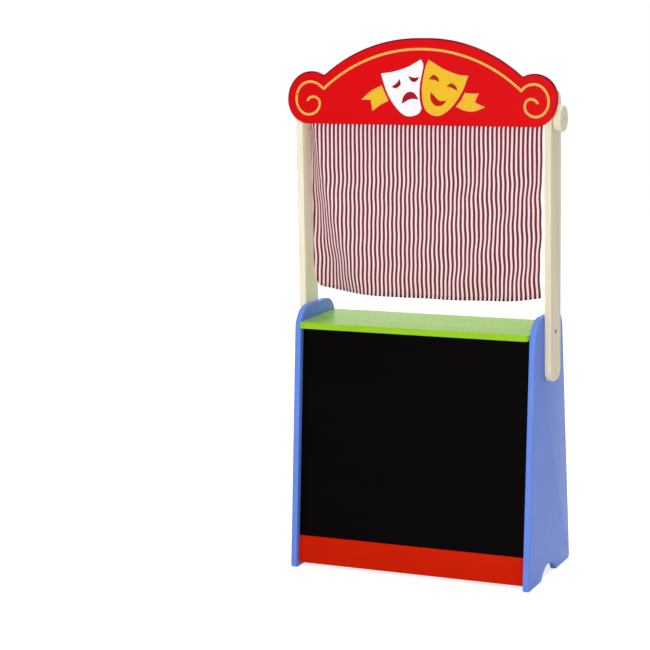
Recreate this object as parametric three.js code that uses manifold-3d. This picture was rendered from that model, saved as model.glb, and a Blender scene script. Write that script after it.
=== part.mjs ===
// Puppet theatre stand for children. Two painted side panels carry a counter shelf, a chalkboard
// front and two kick boards. Two pale uprights stand on the panels' outer faces. They hold a painted
// header board and, behind it, a roller with a cloth curtain that a wooden knob winds up.
// Millimetres. X points right, Y to the back and Z up. The origin is on the floor, under the middle.

import * as THREE from 'three';
import { mergeVertices } from 'three/addons/utils/BufferGeometryUtils.js';
import Module from 'manifold-3d';

const wasm = await Module();
wasm.setup();

// Fits and cutting
const seatGap = 0.3; // between pieces that touch
const holeGap = 0.3; // round a dowel, a screw or a journal, on the radius
const turnGap = 0.7; // beside a piece that turns
const overrun = 5; // how far a cutter runs past the face that it opens
const mergeDistance = 0.0001;

// The whole stand
const totalHeight = 1130;
const outerSpan = 538; // across the side panels' outer faces

// Side panels, seen from the side: a tapered board with a rounded head and two feet
const panelThickness = 13;
const panelHeight = 560.5;
const panelFrontFoot = 138.5; // from the middle to the front corner at the floor
const panelFrontHead = 88.1; // the same at the top
const panelRearFoot = 145.5;
const panelRearHead = 88.6;
const panelFrontRadius = 50; // at the head
const panelRearRadius = 42;
const panelFootRadius = 8;
const footArchWidth = 102;
const footArchHeight = 27;
const paintedEdgeRadius = 1.5; // the rounding along every painted edge

// Counter shelf between the panels
const shelfDrop = 28.5; // from the panels' heads down to the counter
const shelfThickness = 13;
const shelfOverhang = 12; // in front of the panels' front edges
const shelfBackInset = 4; // in front of the panels' back edges
const shelfCornerRadius = 10; // at the front
const shelfBackRadius = 3;

// Chalkboard, a thin board that stands in grooves, in line with the panels' slanted front edges
const chalkThickness = 4;
const chalkRecess = 15; // behind the front edges
const grooveDepth = 5;
const grooveGap = 0.4; // on each side of the board in its grooves
const boardEndGap = 0.6; // between the board's edge and the groove's floor

// Kick boards, one at the front and one at the back, slanted as the panels' edges are
const kickHeight = 59.5;
const kickFloorGap = 9.4;
const kickThickness = 13;
const kickRecess = 12;
const kickEdgeRadius = 2.5;

// Uprights on the panels' outer faces
const uprightWidth = 67;
const uprightThickness = 14;
const uprightLap = 110.5; // how far they reach down past the counter
const uprightTopDrop = 107; // from the top of the header down to theirs
const uprightEndRadius = 25;
const uprightSeatRadius = 6; // the corner behind the header, where the board needs its seat
const uprightEdgeRadius = 1.5;

// Header board: an arch between two oval lobes, of which the right one is narrower
const headerHeight = 179.4;
const headerOverhang = 15.7; // past each upright's outer face
const headerThickness = 6;
const headerEdgeRadius = 1;
// The arch of each side starts that far out from the middle, and a short level edge joins the two.
// Each lobe is an oval below its widest place and another above it, each with its own half width.
const headerLeft = {
  archFrom: 1.5,
  archRadius: 332,
  widestRise: 49.4, // above the bottom edge
  lowWidth: 45,
  headWidth: 55.4,
  headRise: 61,
};
const headerRight = {
  archFrom: 17.6,
  archRadius: 311.6,
  widestRise: 59.4,
  lowWidth: 49.6,
  headWidth: 49.6,
  headRise: 48.2,
};
const notchRadius = 7; // where a lobe meets the arch

// Curtain roller: a dowel with a turned journal at each end
const rollerRise = 15.4; // above the header's bottom edge
const rollerRadius = 11;
const journalRadius = 7;
const blindJournalLength = 9;
const rollerChamfer = 1;

// Winding knob on the right end of the roller
const knobRadius = 27.5;
const knobThickness = 16.8;
const knobFrontRadius = 3.5;
const knobBackRadius = 2;
const knobSocketDepth = 6;

// Curtain cloth
const clothThickness = 1;
const curtainSideGap = 8; // between the cloth and each upright
const hemClearance = 52; // between the lowest stretch of the hem and the counter
const woundTurns = 2; // turns left on the roller when the curtain is down
const woundGap = 0.5; // between those turns
const hemLift = 12; // how much higher the hem's corners hang
const sideSlack = 6.1; // how far the left edge hangs out towards the upright
const sideSlackFull = 130; // down to here it grows
const leftHemDrift = 14; // how far it draws in again at the hem
const rightDrift = 5.5; // how far the right edge draws in by the hem
const rightTopDrift = 2;
const sideFoldDepth = 31; // the left side falls back behind the rest
const sideFoldWidth = 66;
const sideFoldHemInset = 78; // how far in from the left edge that fold is at the hem
const sideFoldFrom = 41; // it deepens from here
const sideFoldFull = 158; // down to here
const bulgeDepth = 7; // beside that fold, the cloth hangs forward
const bulgeFrom = 40;
const bulgeFull = 250;
const rippleDepth = 5; // slanting ripples, mostly on the right
const rippleWidth = 135;
const rippleStart = 268; // the first crest's place at the top, to the right of the middle
const rippleSlant = 0.9; // how far a crest moves to the left for each millimetre down
const rippleShare = 0.25; // what is left of the ripples on the left
const flatDrop = 20; // the cloth hangs flat for this far below the axis
const rippleFull = 120;
const rightTopDrop = 30;

// Furniture screws with a countersunk head and a hexagon socket. Radii and lengths: the head, its
// upright rim, the neck under its slope, the shank, the tip and its taper, then the socket.
const boardScrew = {
  head: 5,
  rim: 0.8,
  neck: 3.4,
  shank: 3,
  tip: 1.6,
  taper: 3,
  length: 50,
  key: 2.3,
  socket: 2.2,
};
const kickScrew = { ...boardScrew, length: 45 };
const uprightBolt = { ...boardScrew, tip: 2.6, taper: 0.6, length: 23.5 };
const headerScrew = {
  head: 2.6,
  rim: 0.3,
  neck: 1.7,
  shank: 1.4,
  tip: 0.5,
  taper: 2.5,
  length: 25,
  key: 1.1,
  socket: 1,
};
const knobScrew = {
  head: 3.6,
  rim: 0.5,
  neck: 2.4,
  shank: 2,
  tip: 0.8,
  taper: 3,
  length: 26,
  key: 1.6,
  socket: 1.3,
};

// Sleeve nut that the upright's lower bolt is screwed into, from the panel's inner face
const nutFlangeRadius = 7.5;
const nutFlangeThickness = 1.5;
const nutSleeveRadius = 4.5;
const nutSleeveLength = 10;
const nutFloor = 1.2;

// Wooden dowels
const dowelRadius = 4;
const dowelLength = 28;
const dowelChamfer = 0.8;
const dowelPanelDepth = 8; // how deep a dowel sits in the side panel

// Places of the fastenings
const uprightBoltRise = 37.5; // above the uprights' feet
const shelfDowelSpread = 62; // from the middle of the shelf, to the front and to the back
const kickScrewRise = 3; // above the middle of the kick board
const kickDowelDrop = 18; // below the kick board's screw
const headerScrewRises = [61.4, 33.4]; // above the header's bottom edge

// Facets
const arcSteps = 3; // doubled along an arc
const headerSteps = 13;
const roundSides = 16;
const dowelSides = 12;
const knobSides = 40;
const notchHalvings = 40; // of the search for the place of a notch
const turnSteps = 40; // per turn of the wound cloth
const clothColumns = 40;
const clothRows = 14;

// Places that follow from the sizes above
const panelOuterX = outerSpan / 2;
const panelInnerX = panelOuterX - panelThickness;
const betweenPanelsX = panelInnerX - seatGap;
const uprightInnerX = panelOuterX + seatGap;
const uprightOuterX = uprightInnerX + uprightThickness;
const knobInnerX = uprightOuterX + turnGap;
const knobOuterX = knobInnerX + knobThickness;
const shelfTop = panelHeight - shelfDrop;
const panelLean = (panelFrontFoot - panelFrontHead) / panelHeight;
const panelRearLean = (panelRearFoot - panelRearHead) / panelHeight;
const shelfMiddle = shelfTop - shelfThickness / 2;
const shelfFrontY = -panelFrontFoot + panelLean * shelfTop - shelfOverhang;
const shelfBackY = panelRearFoot - panelRearLean * shelfTop - shelfBackInset;
const uprightFoot = shelfTop - uprightLap;
const uprightTop = totalHeight - uprightTopDrop;
const uprightBoltHeight = uprightFoot + uprightBoltRise;
const headerBottom = totalHeight - headerHeight;
const headerHalf = uprightOuterX + headerOverhang;
const headerBackY = -uprightWidth / 2 - seatGap;
const headerFrontY = headerBackY - headerThickness;
const rollerHeight = headerBottom + rollerRise;
const rollerEndX = uprightInnerX - turnGap;
const clothPitch = clothThickness + woundGap;
const woundInnerRadius = rollerRadius + seatGap + clothThickness / 2;
const woundOuterRadius = woundInnerRadius + clothPitch * woundTurns;
const curtainHalfWidth = uprightInnerX - curtainSideGap;
const curtainDrop = rollerHeight - shelfTop - hemClearance;

const up = new THREE.Vector3(0, 0, 1);
const left = new THREE.Vector3(-1, 0, 0);
const right = new THREE.Vector3(1, 0, 0);
const back = new THREE.Vector3(0, 1, 0);

const stand = new THREE.Group();

// Paints, woods, metals and cloth
const paint = (color) => new THREE.MeshStandardMaterial({ color, roughness: 0.38, metalness: 0 });
const materials = {
  bluePaint: paint(0x5f8be0),
  greenPaint: paint(0x9ccb2a),
  redPaint: paint(0xc81420),
  chalkPaint: new THREE.MeshStandardMaterial({ color: 0x111010, roughness: 0.85, metalness: 0 }),
  paleWood: new THREE.MeshStandardMaterial({ color: 0xe3d3b2, roughness: 0.55, metalness: 0 }),
  knobWood: new THREE.MeshStandardMaterial({ color: 0xd8cfb4, roughness: 0.5, metalness: 0 }),
  steel: new THREE.MeshStandardMaterial({ color: 0x8f9295, roughness: 0.35, metalness: 1 }),
  cloth: new THREE.MeshStandardMaterial({ color: 0xd7a0ab, roughness: 0.9, metalness: 0 }),
};

// A closed three.js geometry as a solid that can be cut and joined.
function solidOf(geometry) {
  const bare = geometry.clone();
  bare.deleteAttribute('normal');
  bare.deleteAttribute('uv');
  const merged = mergeVertices(bare, mergeDistance);
  const corners = [];
  for (let i = 0; i < merged.index.count; i += 3) {
    const [a, b, c] = merged.index.array.slice(i, i + 3);
    if (a !== b && b !== c && c !== a) corners.push(a, b, c);
  }
  return new wasm.Manifold(
    new wasm.Mesh({
      numProp: 3,
      vertProperties: new Float32Array(merged.attributes.position.array),
      triVerts: new Uint32Array(corners),
    }),
  );
}

// A solid as a flat-shaded geometry.
function geometryOf(solid) {
  const mesh = solid.getMesh();
  const geometry = new THREE.BufferGeometry();
  geometry.setAttribute('position', new THREE.BufferAttribute(new Float32Array(mesh.vertProperties), 3));
  geometry.setIndex(new THREE.BufferAttribute(new Uint32Array(mesh.triVerts), 1));
  const flat = geometry.toNonIndexed();
  flat.computeVertexNormals();
  return flat;
}

function cut(geometry, cutters) {
  return geometryOf(cutters.reduce((body, cutter) => body.subtract(solidOf(cutter)), solidOf(geometry)));
}

function add(name, geometry, material) {
  const mesh = new THREE.Mesh(geometry, material);
  mesh.name = name;
  stand.add(mesh);
  return mesh;
}

// Rounds one corner of an outline: a line up to an arc that touches both of the corner's sides.
function roundCorner(shape, before, corner, after, radius) {
  const inward = new THREE.Vector2(...before).sub(new THREE.Vector2(...corner)).normalize();
  const onward = new THREE.Vector2(...after).sub(new THREE.Vector2(...corner)).normalize();
  const halfAngle = Math.acos(THREE.MathUtils.clamp(inward.dot(onward), -1, 1)) / 2;
  const reach = radius / Math.tan(halfAngle);
  const centre = inward.clone().add(onward).normalize().multiplyScalar(radius / Math.sin(halfAngle));
  centre.add(new THREE.Vector2(...corner));
  const start = new THREE.Vector2(...corner).addScaledVector(inward, reach).sub(centre);
  const end = new THREE.Vector2(...corner).addScaledVector(onward, reach).sub(centre);
  const clockwise = inward.cross(onward) > 0;
  shape.absarc(centre.x, centre.y, radius, start.angle(), end.angle(), clockwise);
}

// A closed outline from corners, each with its own rounding.
function roundedOutline(corners) {
  const shape = new THREE.Shape();
  corners.forEach(({ at, radius }, i) => {
    const before = corners[(i + corners.length - 1) % corners.length].at;
    const after = corners[(i + 1) % corners.length].at;
    roundCorner(shape, before, at, after, radius);
  });
  return shape;
}

// A flat board from its outline, with a small rounding along the edges of both faces.
function boardOf(shape, thickness, edgeRadius, steps = arcSteps) {
  const geometry = new THREE.ExtrudeGeometry(shape, {
    depth: thickness - 2 * edgeRadius,
    bevelThickness: edgeRadius,
    bevelSize: edgeRadius,
    bevelOffset: -edgeRadius,
    bevelSegments: 2,
    curveSegments: steps,
  });
  return geometry.translate(0, 0, edgeRadius);
}

// Turns an outline's plane into the YZ plane, with the thickness along +X from fromX.
function standAlongX(geometry, fromX) {
  const turn = new THREE.Matrix4().makeBasis(back, up, right);
  return geometry.applyMatrix4(turn).translate(fromX, 0, 0);
}

// A straight bar along X between two ends, from its section in the YZ plane.
function barAlongX(shape, fromX, toX, steps = arcSteps) {
  const options = { depth: toX - fromX, bevelEnabled: false, curveSegments: steps };
  return standAlongX(new THREE.ExtrudeGeometry(shape, options), fromX);
}

// A turned piece from its profile of [radius, distance along the axis], with the axis along +Z.
function turned(profile, sides = roundSides) {
  const points = profile.map(([radius, along]) => new THREE.Vector2(radius, along));
  return new THREE.LatheGeometry(points, sides).rotateX(Math.PI / 2);
}

// Moves a piece that was made along +Z so that it starts at a point and runs in a direction.
function aim(geometry, start, direction) {
  const turn = new THREE.Quaternion().setFromUnitVectors(up, direction);
  return geometry.clone().applyQuaternion(turn).translate(...start);
}

const hole = (radius, start, direction, depth, sides = roundSides) =>
  aim(turned([[0, -overrun], [radius, -overrun], [radius, depth], [0, depth]], sides), start, direction);

// A point on the slanted front plane: a distance up the panels' front edge and another one behind it.
const leanLength = Math.hypot(1, panelLean);
function leanPoint(along, behind) {
  const y = -panelFrontFoot + (along * panelLean + behind) / leanLength;
  return [y, (along - behind * panelLean) / leanLength];
}
const alongAtHeight = (z, behind) => z * leanLength + behind * panelLean;

// A bar's section that stands in the slanted plane, between two heights along it.
function leaningSection(fromAlong, toAlong, fromBehind, toBehind, radius) {
  return roundedOutline([
    { at: leanPoint(fromAlong, fromBehind), radius },
    { at: leanPoint(fromAlong, toBehind), radius },
    { at: leanPoint(toAlong, toBehind), radius },
    { at: leanPoint(toAlong, fromBehind), radius },
  ]);
}

// Fastenings

function screwProfile({ head, rim, neck, shank, tip, taper, length }, grow = 0) {
  const drop = head - neck; // the countersink's slope is 45 degrees
  const top = grow ? -overrun : 0;
  return [
    [0, top],
    [head + grow, top],
    [head + grow, rim + grow],
    [neck + grow, rim + drop + grow],
    [shank + grow, rim + drop + grow],
    [shank + grow, length - taper + grow],
    [tip + grow, length + grow],
    [0, length + grow],
  ];
}

function screwOf(screw) {
  const { key, socket } = screw;
  const hexagon = turned([[0, -overrun], [key, -overrun], [key, socket], [0, socket]], 6);
  return cut(turned(screwProfile(screw)), [hexagon]);
}

const screwHole = (screw, start, direction) => aim(turned(screwProfile(screw, holeGap)), start, direction);

function addScrew(name, screw, start, direction) {
  const mesh = add(name, screwOf(screw), materials.steel);
  mesh.position.set(...start);
  mesh.quaternion.setFromUnitVectors(up, direction);
}

const dowelProfile = [
  [0, 0],
  [dowelRadius - dowelChamfer, 0],
  [dowelRadius, dowelChamfer],
  [dowelRadius, dowelLength - dowelChamfer],
  [dowelRadius - dowelChamfer, dowelLength],
  [0, dowelLength],
];

function addDowel(name, start, direction) {
  const mesh = add(name, turned(dowelProfile, dowelSides), materials.paleWood);
  mesh.position.set(...start);
  mesh.quaternion.setFromUnitVectors(up, direction);
}

// Each side has a sign, and a direction that runs from its outer face towards the middle.
const sides = [
  { word: 'left', sign: -1, inward: right },
  { word: 'right', sign: 1, inward: left },
];
const ends = [
  { word: 'front', sign: -1 },
  { word: 'rear', sign: 1 },
];

const kickMiddle = alongAtHeight(kickFloorGap, kickRecess) + kickHeight / 2;
const kickScrewAlong = kickMiddle + kickScrewRise;
const [kickScrewY, kickScrewZ] = leanPoint(kickScrewAlong, kickRecess + kickThickness / 2);
const [kickDowelY, kickDowelZ] = leanPoint(kickScrewAlong - kickDowelDrop, kickRecess + kickThickness / 2);

const dowelStartX = panelInnerX + dowelPanelDepth;
const dowelPlaces = ends.flatMap(({ word, sign }) => [
  { word: `shelf_dowel_${word}`, y: sign * shelfDowelSpread, z: shelfMiddle },
  { word: `kick_dowel_${word}`, y: -sign * kickDowelY, z: kickDowelZ },
]);
const dowelHoles = sides.flatMap(({ sign, inward }) =>
  dowelPlaces.map(({ y, z }) => {
    const start = [sign * dowelStartX, y, z];
    const profile = dowelProfile.map(([radius, along]) => [
      radius && radius + holeGap,
      along ? along + holeGap : -holeGap,
    ]);
    profile[2][1] = dowelChamfer - holeGap;
    profile[3][1] = dowelLength - dowelChamfer + holeGap;
    return aim(turned(profile, dowelSides), start, inward);
  }),
);

const kickScrewStart = ({ sign }, end) => [sign * panelOuterX, -end.sign * kickScrewY, kickScrewZ];
const kickScrewHoles = sides.flatMap((side) =>
  ends.map((end) => screwHole(kickScrew, kickScrewStart(side, end), side.inward)),
);
const shelfScrewStart = ({ sign }) => [sign * uprightOuterX, 0, shelfMiddle];
const shelfScrewHoles = sides.map((side) => screwHole(boardScrew, shelfScrewStart(side), side.inward));
const uprightBoltStart = ({ sign }) => [sign * uprightOuterX, 0, uprightBoltHeight];
const uprightBoltHoles = sides.map((side) => screwHole(uprightBolt, uprightBoltStart(side), side.inward));

// Sleeve nut: it starts at the panel's inner face, flange first.
const nutProfile = [
  [0, 0],
  [nutFlangeRadius, 0],
  [nutFlangeRadius, nutFlangeThickness],
  [nutSleeveRadius, nutFlangeThickness],
  [nutSleeveRadius, nutFlangeThickness + nutSleeveLength],
  [uprightBolt.shank + holeGap, nutFlangeThickness + nutSleeveLength],
  [uprightBolt.shank + holeGap, nutFloor],
  [0, nutFloor],
];
const nutStartX = panelInnerX - seatGap - nutFlangeThickness;
const nutHoles = sides.map(({ sign, inward }) => {
  const start = [sign * panelInnerX, 0, uprightBoltHeight];
  const depth = nutSleeveLength + holeGap;
  return hole(nutSleeveRadius + holeGap, start, inward.clone().negate(), depth);
});

// Boards

const chalkBottom = kickMiddle + kickHeight / 2 - grooveDepth + boardEndGap;
const chalkTop = alongAtHeight(shelfTop - shelfThickness + grooveDepth, chalkRecess) - boardEndGap;
const chalkSideX = panelInnerX + grooveDepth - boardEndGap;

function chalkSlab(grow, growEnd) {
  const section = leaningSection(
    chalkBottom - growEnd,
    chalkTop + growEnd,
    chalkRecess - grow,
    chalkRecess + chalkThickness + grow,
    (chalkThickness + grow) / 8,
  );
  return barAlongX(section, -chalkSideX - growEnd, chalkSideX + growEnd, 2);
}
const chalkGroove = chalkSlab(grooveGap, boardEndGap);

function sidePanelOutline() {
  const archFoot = footArchWidth / 2;
  const archRadius = (archFoot ** 2 + footArchHeight ** 2) / (2 * footArchHeight);
  const archCentre = footArchHeight - archRadius;
  const archAngle = Math.atan2(-archCentre, archFoot);
  const rearFoot = [panelRearFoot, 0];
  const rearHead = [panelRearHead, panelHeight];
  const frontHead = [-panelFrontHead, panelHeight];
  const frontFoot = [-panelFrontFoot, 0];
  const shape = new THREE.Shape();
  roundCorner(shape, [archFoot, 0], rearFoot, rearHead, panelFootRadius);
  roundCorner(shape, rearFoot, rearHead, frontHead, panelRearRadius);
  roundCorner(shape, rearHead, frontHead, frontFoot, panelFrontRadius);
  roundCorner(shape, frontHead, frontFoot, [-archFoot, 0], panelFootRadius);
  shape.absarc(0, archCentre, archRadius, Math.PI - archAngle, archAngle, true);
  return shape;
}

for (const { word, sign } of sides) {
  const board = boardOf(sidePanelOutline(), panelThickness, paintedEdgeRadius);
  const placed = standAlongX(board, sign > 0 ? panelInnerX : -panelOuterX);
  const screwHoles = [...kickScrewHoles, ...shelfScrewHoles, ...uprightBoltHoles];
  const cutters = [chalkGroove, ...dowelHoles, ...screwHoles, ...nutHoles];
  add(`side_panel_${word}`, cut(placed, cutters), materials.bluePaint);
}

const shelfOutline = roundedOutline([
  { at: [-betweenPanelsX, shelfFrontY], radius: shelfCornerRadius },
  { at: [betweenPanelsX, shelfFrontY], radius: shelfCornerRadius },
  { at: [betweenPanelsX, shelfBackY], radius: shelfBackRadius },
  { at: [-betweenPanelsX, shelfBackY], radius: shelfBackRadius },
]);
const shelfBoard = boardOf(shelfOutline, shelfThickness, paintedEdgeRadius);
shelfBoard.translate(0, 0, shelfTop - shelfThickness);
add('counter_shelf', cut(shelfBoard, [chalkGroove, ...dowelHoles, ...shelfScrewHoles]), materials.greenPaint);

add('chalkboard', chalkSlab(0, 0), materials.chalkPaint);

const kickSection = leaningSection(
  kickMiddle - kickHeight / 2,
  kickMiddle + kickHeight / 2,
  kickRecess,
  kickRecess + kickThickness,
  kickEdgeRadius,
);
const kickBar = barAlongX(kickSection, -betweenPanelsX, betweenPanelsX, 4);
const rearTurn = new THREE.Matrix4().makeRotationZ(Math.PI);
for (const { word, sign } of ends) {
  const bar = sign > 0 ? kickBar.clone().applyMatrix4(rearTurn) : kickBar;
  add(`kick_board_${word}`, cut(bar, [chalkGroove, ...dowelHoles, ...kickScrewHoles]), materials.redPaint);
}

// Uprights: the right one is bored through for the roller, the left one only part way.
const headerScrewX = uprightInnerX + uprightThickness / 2;
const headerScrewStarts = sides.flatMap(({ word, sign }) =>
  headerScrewRises.map((rise, i) => ({
    word: `${word}_${i + 1}`,
    start: [sign * headerScrewX, headerFrontY, headerBottom + rise],
  })),
);
const headerScrewHoles = headerScrewStarts.map(({ start }) => screwHole(headerScrew, start, back));

const uprightHalf = uprightWidth / 2;
const uprightOutline = roundedOutline([
  { at: [-uprightHalf, uprightFoot], radius: uprightEndRadius },
  { at: [uprightHalf, uprightFoot], radius: uprightEndRadius },
  { at: [uprightHalf, uprightTop], radius: uprightEndRadius },
  { at: [-uprightHalf, uprightTop], radius: uprightSeatRadius },
]);
for (const { word, sign, inward } of sides) {
  const board = boardOf(uprightOutline, uprightThickness, uprightEdgeRadius);
  const placed = standAlongX(board, sign > 0 ? uprightInnerX : -uprightOuterX);
  const depth = sign > 0 ? uprightThickness + overrun : blindJournalLength;
  const start = [sign * uprightInnerX, 0, rollerHeight];
  const bore = hole(journalRadius + holeGap, start, inward.clone().negate(), depth);
  const cutters = [bore, ...headerScrewHoles, ...shelfScrewHoles, ...uprightBoltHoles];
  add(`upright_${word}`, cut(placed, cutters), materials.paleWood);
}

// One half of the header's outline, worked out as on the right. The lobe touches the bottom edge. A
// small fillet joins its upper oval to the arch, with a centre as far from the one as from the other.
// Its place is found by halving the stretch of the oval that holds it, from the top to the inner side.
function headerHalfOutline({ archFrom, archRadius, widestRise, lowWidth, headWidth, headRise }) {
  const low = new THREE.Vector2(headerHalf - lowWidth, headerBottom + widestRise);
  const head = new THREE.Vector2(headerHalf - headWidth, low.y);
  const arch = new THREE.Vector2(archFrom, totalHeight - archRadius);
  const lowSize = new THREE.Vector2(lowWidth, widestRise);
  const size = new THREE.Vector2(headWidth, headRise);
  const filletAt = (angle) => {
    const round = new THREE.Vector2(Math.cos(angle), Math.sin(angle));
    const facing = round.clone().divide(size).normalize();
    const centre = round.multiply(size).addScaledVector(facing, notchRadius).add(head);
    return { centre, facing };
  };
  let lobeEnd = Math.PI;
  let outer = lobeEnd / 2;
  for (let i = 0; i < notchHalvings; i++) {
    const middle = (outer + lobeEnd) / 2;
    const tooFar = filletAt(middle).centre.distanceTo(arch) > archRadius + notchRadius;
    if (tooFar) outer = middle;
    else lobeEnd = middle;
  }
  const { centre, facing } = filletAt(lobeEnd);
  const archStart = centre.clone().sub(arch).angle();
  const filletStart = facing.angle();
  return { low, lowSize, head, size, lobeEnd, arch, archRadius, archStart, fillet: centre, filletStart };
}

// Header: the arch runs from one lobe over the top to the other. The left half is a mirror image.
function headerOutline() {
  const near = headerHalfOutline(headerRight);
  const far = headerHalfOutline(headerLeft);
  const half = Math.PI;
  const top = half / 2;
  const shape = new THREE.Shape();
  shape.absellipse(near.low.x, near.low.y, near.lowSize.x, near.lowSize.y, -top, 0, false);
  shape.absellipse(near.head.x, near.head.y, near.size.x, near.size.y, 0, near.lobeEnd, false);
  shape.absarc(near.fillet.x, near.fillet.y, notchRadius, near.filletStart - half, near.archStart + half, true);
  shape.absarc(near.arch.x, near.arch.y, near.archRadius, near.archStart, top, false);
  shape.absarc(-far.arch.x, far.arch.y, far.archRadius, top, half - far.archStart, false);
  shape.absarc(-far.fillet.x, far.fillet.y, notchRadius, -far.archStart, -far.filletStart, true);
  shape.absellipse(-far.head.x, far.head.y, far.size.x, far.size.y, half - far.lobeEnd, half, false);
  shape.absellipse(-far.low.x, far.low.y, far.lowSize.x, far.lowSize.y, half, half + top, false);
  return shape;
}
const headerBoard = boardOf(headerOutline(), headerThickness, headerEdgeRadius, headerSteps);
headerBoard.rotateX(Math.PI / 2).translate(0, headerBackY, 0);
add('header_board', cut(headerBoard, headerScrewHoles), materials.redPaint);

// Roller: a thick dowel between the uprights, with a short blind journal on the left and a long one
// on the right that reaches into the knob.
const knobJournalEnd = knobInnerX + knobSocketDepth - seatGap;
const blindJournalEnd = -uprightInnerX - blindJournalLength + turnGap;
const rollerProfile = [
  [0, blindJournalEnd],
  [journalRadius - rollerChamfer, blindJournalEnd],
  [journalRadius, blindJournalEnd + rollerChamfer],
  [journalRadius, -rollerEndX],
  [rollerRadius - rollerChamfer, -rollerEndX],
  [rollerRadius, -rollerEndX + rollerChamfer],
  [rollerRadius, rollerEndX - rollerChamfer],
  [rollerRadius - rollerChamfer, rollerEndX],
  [journalRadius, rollerEndX],
  [journalRadius, knobJournalEnd - rollerChamfer],
  [journalRadius - rollerChamfer, knobJournalEnd],
  [0, knobJournalEnd],
];
const rollerAxis = [0, 0, rollerHeight];
const knobScrewStart = [knobOuterX, 0, rollerHeight];
const roller = aim(turned(rollerProfile, 2 * dowelSides), rollerAxis, right);
add('curtain_roller', cut(roller, [screwHole(knobScrew, knobScrewStart, left)]), materials.paleWood);

// Knob: a thick disc with a fuller rounding at the front and a socket for the journal at the back.
function knobOutline() {
  const rim = new THREE.Path();
  const faceCentre = knobThickness - knobFrontRadius;
  rim.absarc(knobRadius - knobBackRadius, knobBackRadius, knobBackRadius, -Math.PI / 2, 0, false);
  rim.absarc(knobRadius - knobFrontRadius, faceCentre, knobFrontRadius, 0, Math.PI / 2, false);
  return [[0, 0], ...rim.getPoints(arcSteps).map(({ x, y }) => [x, y]), [0, knobThickness]];
}
const knobStart = [knobInnerX, 0, rollerHeight];
const knob = aim(turned(knobOutline(), knobSides), knobStart, right);
const knobSocket = hole(journalRadius + holeGap, knobStart, right, knobSocketDepth);
const knobCutters = [knobSocket, screwHole(knobScrew, knobScrewStart, left)];
add('winding_knob', cut(knob, knobCutters), materials.knobWood);

// Cloth wound on the roller: a spiral that ends at the front, where the curtain leaves it.
function woundCloth() {
  const steps = Math.round(turnSteps * woundTurns);
  const edge = (offset) =>
    Array.from({ length: steps + 1 }, (_, i) => {
      const turn = (i / steps) * woundTurns;
      const radius = woundOuterRadius - clothPitch * turn + offset;
      const angle = turn * 2 * Math.PI;
      return new THREE.Vector2(-radius * Math.cos(angle), radius * Math.sin(angle));
    });
  const outer = edge(clothThickness / 2);
  const inner = edge(-clothThickness / 2);
  let leastGap = Infinity;
  outer.slice(turnSteps).forEach((point, i) => {
    const near = inner.slice(Math.max(0, i - 2), i + 3);
    leastGap = Math.min(leastGap, ...near.map((other) => other.distanceTo(point)));
  });
  console.log(`least gap between the turns of the wound cloth: ${leastGap.toFixed(2)} mm`);
  const section = new THREE.Shape([...outer, ...inner.reverse()]);
  return barAlongX(section, -curtainHalfWidth, curtainHalfWidth).translate(0, 0, rollerHeight);
}
add('wound_cloth', woundCloth(), materials.cloth);

// Curtain: one hanging sheet. Across it runs a number from 0 at the left to 1 at the right, and down
// it a distance from the roller's axis. Its left side falls back behind a slanting fold, and slanting
// ripples cross the rest.
const smooth = (from, to, value) => THREE.MathUtils.smoothstep(value, from, to);

function curtainPoint(across, down) {
  const share = down / curtainDrop;
  const leftX = -curtainHalfWidth - sideSlack * smooth(0, sideSlackFull, down) + leftHemDrift * share ** 30;
  const rightX = curtainHalfWidth - rightTopDrift * smooth(0, rightTopDrop, down) - rightDrift * share;
  const x = THREE.MathUtils.lerp(leftX, rightX, across);
  const foldX = -curtainHalfWidth + sideFoldHemInset * share ** 2;
  const behind = 1 - smooth(foldX - sideFoldWidth / 2, foldX + sideFoldWidth / 2, x);
  const fallBack = sideFoldDepth * smooth(sideFoldFrom, sideFoldFull, down) * behind;
  const bulge = bulgeDepth * smooth(bulgeFrom, bulgeFull, down) * (1 - across ** 1.5);
  const spread = rippleShare + (1 - rippleShare) * smooth(0.35, 0.8, across);
  const crest = Math.cos((2 * Math.PI * (x - rippleStart + rippleSlant * down)) / rippleWidth);
  const ripple = rippleDepth * smooth(flatDrop, rippleFull, down) * spread * crest;
  const lift = hemLift * (2 * across - 1) ** 4 * share;
  return new THREE.Vector3(x, -woundOuterRadius + fallBack - bulge - ripple, rollerHeight - down + lift);
}

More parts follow.
